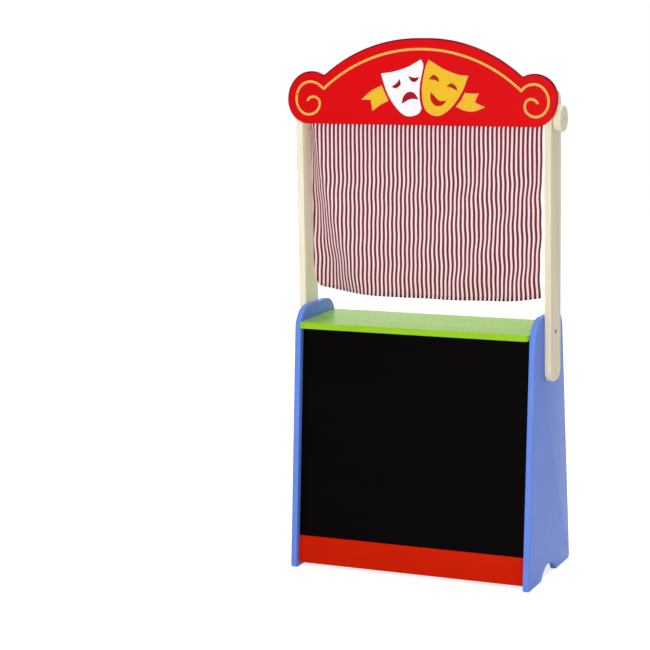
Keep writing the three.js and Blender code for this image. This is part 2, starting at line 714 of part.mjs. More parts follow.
function curtainSheet() {
  const top = seatGap;
  const points = [];
  for (const side of [-clothThickness / 2, clothThickness / 2]) {
    for (let i = 0; i <= clothColumns; i++) {
      for (let j = 0; j <= clothRows; j++) {
        const down = THREE.MathUtils.lerp(top, curtainDrop, j / clothRows);
        const point = curtainPoint(i / clothColumns, down);
        points.push(point.x, point.y + side, point.z);
      }
    }
  }
  const front = (i, j) => i * (clothRows + 1) + j;
  const rear = (i, j) => front(i, j) + (clothColumns + 1) * (clothRows + 1);
  const faces = [];
  for (let i = 0; i < clothColumns; i++) {
    for (let j = 0; j < clothRows; j++) {
      faces.push(front(i, j), front(i, j + 1), front(i + 1, j + 1));
      faces.push(front(i, j), front(i + 1, j + 1), front(i + 1, j));
      faces.push(rear(i, j), rear(i + 1, j + 1), rear(i, j + 1));
      faces.push(rear(i, j), rear(i + 1, j), rear(i + 1, j + 1));
    }
  }
  const rim = (p, q) => {
    faces.push(front(...q), front(...p), rear(...p));
    faces.push(front(...q), rear(...p), rear(...q));
  };
  for (let j = 0; j < clothRows; j++) {
    rim([0, j], [0, j + 1]);
    rim([clothColumns, j + 1], [clothColumns, j]);
  }
  for (let i = 0; i < clothColumns; i++) {
    rim([i, clothRows], [i + 1, clothRows]);
    rim([i + 1, 0], [i, 0]);
  }
  const geometry = new THREE.BufferGeometry();
  geometry.setAttribute('position', new THREE.Float32BufferAttribute(points, 3));
  geometry.setIndex(faces);
  return geometryOf(solidOf(geometry));
}
add('curtain', curtainSheet(), materials.cloth);

// Screws, bolts, nuts and dowels in their places
for (const side of sides) {
  const { word, sign, inward } = side;
  addScrew(`shelf_screw_${word}`, boardScrew, shelfScrewStart(side), inward);
  addScrew(`upright_bolt_${word}`, uprightBolt, uprightBoltStart(side), inward);
  for (const end of ends) {
    addScrew(`kick_screw_${end.word}_${word}`, kickScrew, kickScrewStart(side, end), inward);
  }
  for (const { word: place, y, z } of dowelPlaces) {
    addDowel(`${place}_${word}`, [sign * dowelStartX, y, z], inward);
  }
  const nut = add(`sleeve_nut_${word}`, geometryOf(solidOf(turned(nutProfile))), materials.steel);
  nut.position.set(sign * nutStartX, 0, uprightBoltHeight);
  nut.quaternion.setFromUnitVectors(up, inward.clone().negate());
}
for (const { word, start } of headerScrewStarts) addScrew(`header_screw_${word}`, headerScrew, start, back);
addScrew('knob_screw', knobScrew, knobScrewStart, left);

export default stand;
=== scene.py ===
# %% [markdown]
# # A puppet theatre stand for children
#
# Two blue side panels carry a green counter shelf, a chalkboard and two red kick boards. Two pale
# wooden uprights stand on the panels. They hold a red header board with a printed scroll and two
# masks, and behind it a roller with a striped curtain that a wooden knob winds up.
#
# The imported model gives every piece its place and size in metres. This script dresses it: it makes
# finer meshes for the pieces that show, and a material for each finish.

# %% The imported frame
import math
from collections import namedtuple

import bmesh
import bpy
import numpy as np
from mathutils import Matrix, Vector
from mathutils.geometry import tessellate_polygon


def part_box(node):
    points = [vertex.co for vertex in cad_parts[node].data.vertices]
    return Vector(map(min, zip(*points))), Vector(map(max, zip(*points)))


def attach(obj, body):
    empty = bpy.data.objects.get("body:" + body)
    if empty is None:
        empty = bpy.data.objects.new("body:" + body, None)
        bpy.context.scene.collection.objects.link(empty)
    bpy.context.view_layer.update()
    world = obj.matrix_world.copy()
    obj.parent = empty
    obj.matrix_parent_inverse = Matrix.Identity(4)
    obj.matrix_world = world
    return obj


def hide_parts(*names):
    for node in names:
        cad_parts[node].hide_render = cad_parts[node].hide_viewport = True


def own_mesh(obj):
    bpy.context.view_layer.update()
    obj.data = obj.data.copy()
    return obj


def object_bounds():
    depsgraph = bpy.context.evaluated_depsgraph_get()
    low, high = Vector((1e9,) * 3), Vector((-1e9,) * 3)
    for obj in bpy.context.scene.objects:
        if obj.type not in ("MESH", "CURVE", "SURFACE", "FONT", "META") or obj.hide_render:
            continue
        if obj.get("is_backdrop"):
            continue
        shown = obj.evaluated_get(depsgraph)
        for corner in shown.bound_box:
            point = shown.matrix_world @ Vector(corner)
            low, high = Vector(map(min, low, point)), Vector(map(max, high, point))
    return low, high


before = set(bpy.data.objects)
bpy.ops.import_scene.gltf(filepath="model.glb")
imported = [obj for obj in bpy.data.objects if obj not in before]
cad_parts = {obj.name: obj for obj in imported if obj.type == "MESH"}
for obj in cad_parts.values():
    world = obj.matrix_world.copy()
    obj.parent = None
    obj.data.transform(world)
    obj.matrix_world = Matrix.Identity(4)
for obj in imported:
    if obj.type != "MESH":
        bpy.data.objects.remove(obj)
cad_low, cad_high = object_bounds()
mm = 0.001
print("nodes:", len(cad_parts), "height in mm:", round(cad_high.z / mm))

# %% [markdown]
# ## Camera
#
# A photograph fixes where the camera stood: straight edges of known length shrink with distance in
# only one way. The place, the three turns and the focal length below were fitted to the stand's
# own corners, so the render lines up with the photograph. A long lens is used, as for product
# pictures.

# %% Camera
camera_place = Vector((1.56532, -4.05498, 1.29127))
pan, tilt, roll = 0.41884, -0.17420, -0.01774
focal_pixels, frame_pixels, sensor = 2072.7, 650, 36

ahead = Vector((-math.sin(pan) * math.cos(tilt), math.cos(pan) * math.cos(tilt), math.sin(tilt)))
level_right = Vector((math.cos(pan), math.sin(pan), 0))
level_up = level_right.cross(ahead)
right = math.cos(roll) * level_right + math.sin(roll) * level_up
up = math.cos(roll) * level_up - math.sin(roll) * level_right

camera = bpy.data.objects.new("camera", bpy.data.cameras.new("camera"))
camera.data.sensor_width = sensor
camera.data.lens = focal_pixels * sensor / frame_pixels
camera.data.clip_end = 50
turned = Matrix((right, up, -ahead)).transposed().to_4x4()
camera.matrix_world = Matrix.Translation(camera_place) @ turned
bpy.context.scene.collection.objects.link(camera)
bpy.context.scene.camera = camera
print("lens in mm:", round(camera.data.lens, 1))

# %% [markdown]
# ## Helpers for meshes
#
# Most pieces are grids of points: one number runs one way over the surface, a second number runs
# the other way, and a formula turns the pair into a point. numpy works out all the points at once,
# in millimetres. `make_piece` turns them and their faces into a Blender object, which is in
# metres.

# %% Points and faces into an object
def grid_points(*ways):
    """Points from their coordinates, each of which is first spread over the whole grid."""
    return np.stack(np.broadcast_arrays(*ways), -1)


def grid_faces(rows, columns, closed=True):
    """Quads between neighbours of a grid. In a closed one the last column also joins the first."""
    steps_across = np.arange(columns if closed else columns - 1)
    r, c = np.meshgrid(np.arange(rows - 1), steps_across, indexing="ij")
    here, beside = (r * columns + c).ravel(), (r * columns + (c + 1) % columns).ravel()
    return np.stack([here, here + columns, beside + columns, beside], -1)


def make_piece(name, points, faces, smooth=True, rim=None, uv=None, closed=True):
    """An object at the origin from points in millimetres. rim and uv have a value for each."""
    mesh = bpy.data.meshes.new(name)
    points = np.reshape(points, (-1, 3)) * mm
    mesh.from_pydata(points.tolist(), [], [list(map(int, f)) for f in faces])
    mesh.polygons.foreach_set("use_smooth", np.broadcast_to(smooth, len(mesh.polygons)).tolist())
    if rim is not None:
        mesh.attributes.new("rim", "FLOAT", "POINT").data.foreach_set("value", np.ravel(rim))
    if uv is not None:
        corner = np.empty(len(mesh.loops), int)
        mesh.loops.foreach_get("vertex_index", corner)
        mesh.uv_layers.new(name="cloth").data.foreach_set("uv", uv.reshape(-1, 2)[corner].ravel())
    work = bmesh.new()
    work.from_mesh(mesh)
    if closed:
        bmesh.ops.remove_doubles(work, verts=work.verts, dist=1e-7)
        bmesh.ops.recalc_face_normals(work, faces=work.faces)
    work.to_mesh(mesh)
    work.free()
    mesh.set_sharp_from_angle(angle=math.radians(38))
    piece = bpy.data.objects.new(name, mesh)
    bpy.context.scene.collection.objects.link(piece)
    return piece


def wear(piece, material, slot, *nodes, body="stand"):
    """Gives a piece its material, the body that it rides on and the nodes that it stands for."""
    piece.data.materials.append(material)
    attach(piece, body)
    if nodes:
        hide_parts(*nodes)


def refinish(node, material):
    """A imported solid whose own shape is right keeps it, and gets a better material."""
    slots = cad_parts[node].data.materials
    slots.clear()
    slots.append(material)


# %% [markdown]
# ## Colour in a shader
#
# A colour picker shows screen values from 0 to 255, but a shader works with amounts of light, so
# each colour is converted once. The `put` helper adds a shader node and either links or sets each
# of its inputs, which keeps the materials short enough to read.

# %% Helpers for materials
def srgb(red, green, blue):
    """Screen values from 0 to 255 as amounts of light."""
    share = np.array([red, green, blue]) / 255
    light = np.where(share <= 0.04045, share / 12.92, ((share + 0.055) / 1.055) ** 2.4)
    return (*light.tolist(), 1.0)


def put(tree, kind, inputs=(), **settings):
    """Adds a shader node. An input that is a socket is linked, and any other is set."""
    node = tree.nodes.new("ShaderNode" + kind)
    for name, value in settings.items():
        setattr(node, name, value)
    for name, value in dict(inputs).items():
        if isinstance(value, bpy.types.NodeSocket):
            tree.links.new(value, node.inputs[name])
        else:
            node.inputs[name].default_value = value
    return node


def mixed(tree, share, first, second, blend="MIX"):
    """A colour between two, by a share."""
    inputs = {0: share, 6: first, 7: second}
    return put(tree, "Mix", inputs, data_type="RGBA", blend_type=blend).outputs[2]


def sums(tree, operation, first, second=0.0, third=0.0, clamp=False):
    """One step of arithmetic on single numbers."""
    inputs = {0: first, 1: second, 2: third}
    return put(tree, "Math", inputs, operation=operation, use_clamp=clamp).outputs[0]


def times(tree, first, second):
    """The product of two numbers."""
    return sums(tree, "MULTIPLY", first, second)


def fitted(tree, value, low, high, to_low, to_high):
    """A value moved from one range to another, and held inside it."""
    inputs = {"Value": value, "From Min": low, "From Max": high,
              "To Min": to_low, "To Max": to_high}
    return put(tree, "MapRange", inputs, clamp=True).outputs[0]


def noise(tree, place, scale, detail=2.0, roughness=0.5):
    """A cloudy value from 0 to 1 with its middle at 0.5."""
    inputs = {"Vector": place, "Scale": scale, "Detail": detail, "Roughness": roughness}
    return put(tree, "TexNoise", inputs).outputs["Fac"]


skin_outputs = (("Colour", "Color"), ("Roughness", "Float"), ("Height", "Float"))


def new_group(name, inputs, outputs=skin_outputs):
    """A node group with named sockets. Returns the group, what is given to it and its end node."""
    group = bpy.data.node_groups.new(name, "ShaderNodeTree")
    for title, kind, value in inputs:
        socket = group.interface.new_socket(title, in_out="INPUT", socket_type="NodeSocket" + kind)
        socket.default_value = value
    for title, kind in outputs:
        group.interface.new_socket(title, in_out="OUTPUT", socket_type="NodeSocket" + kind)
    return group, group.nodes.new("NodeGroupInput").outputs, group.nodes.new("NodeGroupOutput")


def finish_group(group, end, **values):
    """Links each value to the group's output of the same name."""
    for title, socket in values.items():
        group.links.new(socket, end.inputs[title])
    return group


def new_material(name, **constants):
    """A material with one main shader. Constant values go straight on the shader's own sockets."""
    material = bpy.data.materials.new(name)
    material.use_nodes = True
    shader = material.node_tree.nodes["Principled BSDF"]
    for title, value in constants.items():
        shader.inputs[title.replace("_", " ")].default_value = value
    return material, material.node_tree, shader


def feed(tree, shader, colour, height, distance, strength, rough=None):
    """Links a colour, a bump and, where it changes over the surface, a roughness to the shader."""
    tree.links.new(colour, shader.inputs["Base Color"])
    if rough is not None:
        tree.links.new(rough, shader.inputs["Roughness"])
    bump = put(tree, "Bump", {"Height": height, "Distance": distance, "Strength": strength})
    tree.links.new(bump.outputs["Normal"], shader.inputs["Normal"])


def group_material(name, shine, group, inputs, distance, strength):
    """A material whose colour, roughness and bump height all come from one group."""
    material, tree, shader = new_material(name, Specular_IOR_Level=shine)
    out = put(tree, "Group", inputs, node_tree=group).outputs
    feed(tree, shader, out["Colour"], out["Height"], distance, strength, out["Roughness"])
    return material


# %% [markdown]
# ## Painted board
#
# The boards are wood-fibre board with a sprayed satin paint. Such paint has a very fine dimpled
# skin, slight clouds in its tone where coats overlap, a few dust specks, and a worn line where
# hands rub the panels' rounded edges. The same edge colour also paints shade: a darker edge on the
# counter and a dark line round the header. One group holds all of that, because four materials
# use it. It reads each piece's `rim`, a number that the boards below carry: 0 on the flat faces,
# up to 1 on their edges.

# %% Paint skin group
grey = (0.5, 0.5, 0.5, 1)
tree, given, end = new_group("paint skin", [
    ("Paint", "Color", grey), ("Edge", "Color", grey),
    ("Edge share", "Float", 0.3), ("Gloss", "Float", 0.35)])
place = put(tree, "TexCoord").outputs["Object"]
rim = put(tree, "Attribute", attribute_name="rim").outputs["Fac"]
dimples = noise(tree, place, 620.0, 1.0)
edge_wear_and_shade = fitted(tree, noise(tree, place, 34.0, 4.0, 0.6), 0.35, 0.65, 0.35, 1.0)
from_speck = put(tree, "TexVoronoi", {"Vector": place, "Scale": 60.0}).outputs["Distance"]
speck = fitted(tree, from_speck, 0.012, 0.025, 1.0, 0.0)
clouds = fitted(tree, noise(tree, place, 7.0, 3.0), 0.3, 0.7, 0.97, 1.03)
toned = mixed(tree, 1.0, given["Paint"], clouds, "MULTIPLY")
# Edge colour: worn paint on the blue panels, painted shade on the counter's and the header's edges.
edge_share = times(tree, times(tree, rim, edge_wear_and_shade), given["Edge share"])
edged = mixed(tree, edge_share, toned, given["Edge"])
marks = fitted(tree, noise(tree, place, 15.0, 4.0, 0.65), 0.35, 0.7, -0.02, 0.04)
rough = sums(tree, "ADD", given["Gloss"], marks)
relief = sums(tree, "MULTIPLY_ADD", speck, 0.1, dimples)
paint_skin = finish_group(tree, end, Colour=edged, Roughness=rough, Height=relief)


def painted(name, colour, edge, share, gloss, shine):
    """A paint: its colour, its colour at the edges, and how much of that shows where rim is 1."""
    values = {"Paint": srgb(*colour), "Edge": srgb(*edge), "Edge share": share, "Gloss": gloss}
    return group_material(name + " paint", shine, paint_skin, values,
                          distance=0.02 * mm, strength=0.4)


blue_paint = painted("blue", (98, 134, 226), (130, 164, 246), share=0.25, gloss=0.36, shine=0.15)
# Painted shade: the green's darker edge colour darkens the counter's edges against its top.
green_paint = painted("green", (150, 206, 0), (112, 148, 0), share=0.15, gloss=0.28, shine=0.3)
# Painted shade: the header's dark edge colour makes a dark line round its edge.
header_red = painted("header red", (220, 6, 14), (104, 4, 36), share=1.4, gloss=0.4, shine=0.06)
kick_red = painted("kick board red", (205, 30, 0), (205, 30, 0), share=0, gloss=0.4, shine=0.04)
print("nodes in the paint skin:", len(paint_skin.nodes))

# %% [markdown]
# ## Chalkboard paint
#
# A chalkboard is a thin hardboard with a matt black paint that has a little grit in it. Wiped
# chalk leaves faint grey clouds, drawn out sideways by the cloth. The clouds are a noise squeezed
# along X.

# %% Chalkboard material
chalk_paint, tree, shader = new_material("chalkboard paint", Specular_IOR_Level=0.03)
place = put(tree, "TexCoord").outputs["Object"]
wiped = put(tree, "Mapping", {"Vector": place, "Scale": (0.35, 1.0, 1.0), "Rotation": (0, 0.35, 0)})
haze = fitted(tree, noise(tree, wiped.outputs[0], 9.0, 5.0, 0.62), 0.45, 0.8, 0.0, 1.0)
grit = noise(tree, place, 1500.0, 2.0)
dusty = mixed(tree, haze, srgb(4, 2, 2), srgb(8, 6, 5))
rough = fitted(tree, haze, 0.0, 1.0, 0.55, 0.75)
feed(tree, shader, dusty, grit, distance=0.08 * mm, strength=0.5, rough=rough)
print("nodes in the chalkboard paint:", len(tree.nodes))

# %% [markdown]
# ## Pale wood
#
# The uprights, the roller and the knob are pale lacquered wood with a straight, quiet grain. Grain
# is a noise that is stretched a lot along the trunk, so the group first multiplies the place by a
# small number in that direction. Wide bands give the growth, fine streaks the fibres, and short
# dark flecks the pores.

# %% Wood group
tree, given, end = new_group("wood grain", [
    ("Stretch", "Vector", (1, 1, 0.05)), ("Pale", "Color", (0.8, 0.7, 0.5, 1)),
    ("Deep", "Color", (0.6, 0.5, 0.3, 1)), ("Gloss", "Float", 0.45)])
place = put(tree, "TexCoord").outputs["Object"]
long_way = put(tree, "VectorMath", {0: place, 1: given["Stretch"]}, operation="MULTIPLY").outputs[0]
bands = fitted(tree, noise(tree, long_way, 110.0, 3.0, 0.55), 0.35, 0.7, 0.0, 0.6)
fibres = noise(tree, long_way, 900.0, 2.0, 0.6)
pores = fitted(tree, noise(tree, long_way, 1700.0, 1.0), 0.68, 0.76, 0.0, 1.0)
share = sums(tree, "SUBTRACT", sums(tree, "MULTIPLY_ADD", fibres, 0.35, bands), 0.2)
share = sums(tree, "MULTIPLY_ADD", noise(tree, place, 12.0, 2.0), 0.3, share, clamp=True)
grained = mixed(tree, share, given["Pale"], given["Deep"])
flecked = mixed(tree, times(tree, pores, 0.35), grained, srgb(150, 120, 80))
rough = sums(tree, "ADD", given["Gloss"], fitted(tree, fibres, 0.3, 0.7, -0.06, 0.08))
wood_grain = finish_group(tree, end, Colour=flecked, Roughness=rough,
                          Height=sums(tree, "SUBTRACT", fibres, pores))


def wooden(name, stretch, pale, deep, gloss):
    """A wood whose grain runs where its stretch is small, between a pale and a deep tone."""
    values = {"Stretch": stretch, "Pale": srgb(*pale), "Deep": srgb(*deep), "Gloss": gloss}
    return group_material(name, 0.18, wood_grain, values, distance=0.05 * mm, strength=0.5)


long_grain, end_grain = 0.045, 0.2
upright_stretch = (1, 1, long_grain)
# The left upright's wood is paler than the right's: painted light for the upright that stands more in
# shade.
upright_woods = {
    "left": wooden("left upright wood with painted light", upright_stretch, (251, 247, 225), (236, 227, 194), 0.42),
    "right": wooden("right upright wood", upright_stretch, (243, 234, 208), (221, 207, 170), 0.42),
}
roller_wood = wooden("roller wood", (long_grain, 1, 1), (245, 238, 213), (224, 211, 175), 0.5)
knob_wood = wooden("knob wood", (end_grain, 1, 1), (241, 236, 211), (220, 214, 181), 0.4)
print("nodes in the wood grain:", len(wood_grain.nodes))

# %% [markdown]
# ## Steel of the fastenings
#
# The screws are turned steel with fine tool marks. Each kind is plated in a tone that hardly shows
# on its board: yellow on the wood, blue on the panels, bronze on the header, and black for the
# shelf's. The plating is a noise between two tones, in the roughness too, and the marks are a
# small bump.

# %% Plated steel
def plated_steel(name, dull, bright):
    """A steel: a noise goes from the dull tone to the bright one, and from smooth to rough."""
    material, tree, shader = new_material(name, Metallic=1.0, Specular_IOR_Level=0.5)
    place = put(tree, "TexCoord").outputs["Object"]
    tarnish = noise(tree, place, 260.0, 3.0, 0.6)
    colour = mixed(tree, tarnish, srgb(*dull), srgb(*bright))
    turning = noise(tree, place, 2600.0, 1.0)
    rough = fitted(tree, tarnish, 0.3, 0.7, 0.32, 0.55)
    feed(tree, shader, colour, turning, distance=0.02 * mm, strength=0.6, rough=rough)
    return material


zinc = plated_steel("zinc-plated steel", (150, 148, 142), (196, 196, 194))
yellow_zinc = plated_steel("yellow-plated steel", (216, 204, 170), (240, 232, 204))
blue_zinc = plated_steel("blue-plated steel", (96, 116, 180), (134, 152, 214))
blackened = plated_steel("blackened steel", (70, 44, 38), (112, 78, 66))
bronzed = plated_steel("bronzed steel", (176, 84, 46), (214, 122, 70))
print("materials so far:", len(bpy.data.materials))

# %% [markdown]
# ## Print inks
#
# The scroll and the masks are screen-printed on the header: flat colours with a thin, slightly
# uneven film of ink. One small group gives each ink its unevenness.

# %% Ink group and the inks
tree, given, end = new_group("ink film", [("Ink", "Color", (1, 1, 1, 1))])
place = put(tree, "TexCoord").outputs["Object"]
film = noise(tree, place, 240.0, 3.0, 0.6)
inked = mixed(tree, 1.0, given["Ink"], fitted(tree, film, 0.3, 0.7, 0.965, 1.02), "MULTIPLY")
ink_film = finish_group(tree, end, Colour=inked, Roughness=fitted(tree, film, 0.3, 0.7, 0.36, 0.46),
                        Height=noise(tree, place, 900.0, 1.0))
ink_colours = {
    "orange": (255, 172, 84), "gold": (240, 190, 40), "white": (250, 247, 248),
    "plum": (146, 12, 42), "brown": (160, 16, 2), "crimson": (172, 12, 34),
    "rust": (172, 44, 4), "smile red": (190, 20, 4),
}
inks = {name: group_material(name + " ink", 0.1, ink_film, {"Ink": srgb(*colour)},
                             distance=0.02 * mm, strength=0.5)
        for name, colour in ink_colours.items()}
print("inks:", ", ".join(inks))

# %% [markdown]
# ## Boards from an outline
#
# A board is a flat outline with a thickness and softly rounded edges. Going round the outline
# gives the first number, going across the edge from face to face gives the second. The outline
# shrinks towards each face along a quarter circle, which is exactly what a router's rounding bit
# leaves. The two flat faces are cut into triangles round their holes, and the holes are walls that
# go inwards.

# %% Outlines
def arc(centre, radius, start, stop, steps):
    """Points on a circle between two angles in degrees: centre + radius (cos, sin)."""
    angle = np.radians(np.linspace(start, stop, steps + 1))
    return np.asarray(centre) + radius * grid_points(np.cos(angle), np.sin(angle))


def circle(centre, radius, sides=32):
    """A whole circle, whose last point isn't its first again."""
    return arc(centre, radius, 0, 360 - 360 / sides, sides - 1)


def oval(centre, half_width, half_height, start, stop, steps):
    """The same for an oval: centre + (half width times cos, half height times sin)."""
    return np.asarray(centre) + (half_width, half_height) * arc((0, 0), 1, start, stop, steps)


def fillet(before, corner, after, radius, steps=8):
    """An arc that touches both sides of a corner. Its centre lies on the corner's halving line, at
    radius over the sine of half the angle, and it turns from one side's foot to the other's."""
    before, corner, after = (np.asarray(p, float) for p in (before, corner, after))
    inward = (before - corner) / np.linalg.norm(before - corner)
    onward = (after - corner) / np.linalg.norm(after - corner)
    half = math.acos(float(inward @ onward)) / 2
    middle = (inward + onward) / np.linalg.norm(inward + onward)
    centre = corner + middle * radius / math.sin(half)
    feet = np.stack([corner + way * radius / math.tan(half) - centre for way in (inward, onward)])
    start, stop = np.degrees(np.arctan2(feet[:, 1], feet[:, 0]))
    turn = (stop - start + 180) % 360 - 180
    return arc(centre, radius, start, start + turn, steps)


def rounded(corners, steps=8):
    """A closed outline from (x, y, radius) corners, each turned into its fillet."""
    points = [c[:2] for c in corners]
    arcs = [fillet(points[i - 1], points[i], points[(i + 1) % len(points)], corners[i][2], steps)
            for i in range(len(corners))]
    return np.concatenate(arcs)


def outward(loop):
    """How far each point of a closed outline moves when the outline grows by 1: the sum of its two
    sides' normals, made longer where the sides meet at an angle."""
    sides = [loop - np.roll(loop, 1, 0), np.roll(loop, -1, 0) - loop]
    first, second = (grid_points(s[:, 1], -s[:, 0]) / np.linalg.norm(s, axis=1)[:, None]
                     for s in sides)
    return (first + second) / (1 + (first * second).sum(1))[:, None]


# %% Boards
edge_steps = 4  # rings across a rounded edge
large_face = 1500  # a side of more square millimetres is flat, a smaller one belongs to a curve
along_x = lambda u, v, depth: grid_points(depth, u, v)
along_y = lambda u, v, depth: grid_points(u, depth, v)
along_z = lambda u, v, depth: grid_points(u, v, depth)


def board(name, loop, span, edge, place, holes=(), band=0.0, rim_share=np.ones_like):
    """A board between the two depths of its span. Each ring is the outline moved in by
    edge (1 - sin a), at a depth of edge (1 - cos a) from its face, for a from 0 to a quarter turn.
    A hole is a list of (loop, depth) rings. It starts on one face, and ends on the other or on a
    floor of its own. A band lets the edge's paint run that far onto the faces. The rim share says
    how much of the edge's paint there is, from how far the outline faces up."""
    low, high = span
    turn = np.linspace(0, math.pi / 2, edge_steps + 1)
    inset, sink = edge * (1 - np.sin(turn)), edge * (1 - np.cos(turn))
    if band:
        inset = np.concatenate([[edge + band, edge + band / 2], inset])
        sink = np.concatenate([[0, 0], sink])
    insets = np.concatenate([inset, inset[::-1]])
    depths = np.concatenate([low + sink, high - sink[::-1]])
    rings = loop - insets[:, None, None] * outward(loop)
    flat = [grid_points(rings[..., 0], rings[..., 1], depths[:, None]).reshape(-1, 3)]
    past_edge = np.clip(insets - edge - band / 2, 0, None)
    coat = 1 - past_edge / (band / 2) if band else 1 - insets / edge
    rim = [(coat[:, None] * rim_share(outward(loop)[:, 1])).ravel()]
    count, total = len(loop), len(flat[0])
    faces = grid_faces(len(insets), count)
    corners = place(*flat[0].T)[faces]
    diagonals = corners[:, 2] - corners[:, 0], corners[:, 3] - corners[:, 1]
    area = np.linalg.norm(np.cross(*diagonals), axis=1) / 2
    faces, smooth = faces.tolist(), (area < large_face).tolist()
    caps = {low: [np.arange(count)], high: [np.arange(total - count, total)]}
    for hole in holes:
        size = len(hole[0][0])
        flat.append(np.concatenate([grid_points(*ring.T, depth) for ring, depth in hole]))
        rim.append(np.zeros(size * len(hole)))
        faces += (grid_faces(len(hole), size) + total).tolist()
        smooth += [True] * (size * (len(hole) - 1))
        total += size * len(hole)
        first, last = total - size * len(hole) + np.arange(size), total - size + np.arange(size)
        caps[hole[0][1]].append(first)
        if hole[-1][1] in caps:
            caps[hole[-1][1]].append(last)
        else:
            faces.append(last.tolist())
            smooth.append(False)
    flat = np.concatenate(flat)
    for loops in caps.values():
        order = np.concatenate(loops)
        outlines = [[Vector((*flat[i, :2], 0)) for i in ring] for ring in loops]
        triangles = tessellate_polygon(outlines)
        faces += [[int(order[i]) for i in t] for t in triangles]
        smooth += [False] * len(triangles)
    return make_piece(name, place(*flat.T), faces, smooth, np.concatenate(rim))


# %% [markdown]
# ## Sizes
#
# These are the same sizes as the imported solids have, in millimetres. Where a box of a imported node
# already tells a size, the box is read instead, so that both models agree.

# %% Sizes of the stand
def box(node):
    """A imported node's lowest and highest corner."""
    low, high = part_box(node)
    return np.array(low) / mm, np.array(high) / mm


(panel_inner, *_), (panel_outer, _, panel_top) = box("side_panel_right")
(upright_inner, _, upright_foot), (upright_outer, _, upright_top) = box("upright_right")
shelf_low, shelf_high = box("counter_shelf")
header_low, header_high = box("header_board")
roller_low, roller_high = box("curtain_roller")
roller_z = (roller_low[2] + roller_high[2]) / 2
foot_front, head_front, head_rear, foot_rear = -138.5, -88.1, 88.6, 145.5
lean = (head_front - foot_front) / panel_top
lean_length = math.hypot(1, lean)
sides = (("left", -1), ("right", 1))
running_gap = 0.3
print("counter at", round(shelf_high[2], 1), "roller axis at", round(roller_z, 1))


def lean_point(along, behind):
    """A point by its distance up the panels' slanted front edge and its distance behind it."""
    return (foot_front + (along * lean + behind) / lean_length,
            (along - behind * lean) / lean_length)


def screw_hole(centre, face, inward, screw, depth):
    """A countersunk hole: straight for the rim, a 45 degree slope, then the shank."""
    head, shank = screw.head + running_gap, screw.shank + running_gap
    slope_end = screw.rim + screw.head - screw.neck + running_gap
    profile = [(head, 0), (head, screw.rim), (shank, slope_end), (shank, depth)]
    return [(circle(centre, radius), face + inward * along) for radius, along in profile]


Screw = namedtuple("Screw", "head rim neck shank length key socket")
board_screw = Screw(head=5, rim=0.8, neck=3.4, shank=3, length=50, key=2.3, socket=2.2)
header_screw = Screw(head=2.6, rim=0.3, neck=1.7, shank=1.4, length=25, key=1.1, socket=1)
knob_screw = Screw(head=3.6, rim=0.5, neck=2.4, shank=2, length=26, key=1.6, socket=1.3)

# %% [markdown]
# ## Side panels
#
# Each panel is a tapered board that stands on two feet. A jigsaw cuts the arch between the feet
# and rounds the head. On the inside runs the groove that holds the chalkboard. Kick board screws
# sit in countersunk holes near the front and the back.

# %% Side panels
arch_half, arch_height = 51.0, 27.0
arch_radius = (arch_half**2 + arch_height**2) / (2 * arch_height)
arch_centre = (0, arch_height - arch_radius)
arch_angle = math.degrees(math.atan2(-arch_centre[1], arch_half))
foot_arch = arc(arch_centre, arch_radius, 180 - arch_angle, arch_angle, 36)
feet, heads = [(foot_front, 0), (foot_rear, 0)], [(head_front, panel_top), (head_rear, panel_top)]
arch_corner, foot_corner, head_rear_corner, head_front_corner = 1.5, 8, 42, 50
panel_loop = np.concatenate([
    fillet(foot_arch[-2], foot_arch[-1], feet[1], arch_corner, 4),
    fillet((arch_half, 0), feet[1], heads[1], foot_corner),
    fillet(feet[1], heads[1], heads[0], head_rear_corner, 24),
    fillet(heads[1], heads[0], feet[0], head_front_corner, 24),
    fillet(heads[0], feet[0], (-arch_half, 0), foot_corner),
    fillet(feet[0], foot_arch[0], foot_arch[1], arch_corner, 4),
    foot_arch[1:-1],
])

round_edge = 1.5
kick_above_floor, kick_near, kick_far, kick_half, kick_screw_rise = 9.4, 12, 25, 59.5 / 2, 3
slot_near, slot_far, slot_depth = 14.6, 19.4, 5
kick_middle = kick_above_floor * lean_length + kick_near * lean + kick_half
kick_y, kick_z = lean_point(kick_middle + kick_screw_rise, (kick_near + kick_far) / 2)
chalk_low = kick_middle + kick_half - slot_depth
chalk_high = shelf_low[2] * lean_length + 15 * lean + slot_depth
slot_loop = np.array([lean_point(chalk_low, slot_near), lean_point(chalk_low, slot_far),
                      lean_point(chalk_high, slot_far), lean_point(chalk_high, slot_near)])

for word, sign in sides:
    outer, inner = sign * panel_outer, sign * panel_inner
    holes = [screw_hole((y, kick_z), outer, -sign, board_screw, panel_outer - panel_inner)
             for y in (kick_y, -kick_y)]
    holes.append([(slot_loop, inner), (slot_loop, inner + sign * slot_depth)])
    span = sorted((outer, inner))
    piece = board(f"side_panel_{word}_board", panel_loop, span, round_edge, along_x, holes)
    wear(piece, blue_paint, "blue_paint", f"side_panel_{word}")
print("arch radius in mm:", round(arch_radius, 1), "points round a panel:", len(panel_loop))

# %% [markdown]
# ## Counter shelf and kick boards
#
# The shelf is a flat board between the panels that stands a little proud of them in front, with
# rounded front corners and a groove underneath. A kick board is a straight bar: its outline is its
# section, seen from the end, with the chalkboard's groove in its top edge, and the board's
# thickness runs the whole way from panel to panel.

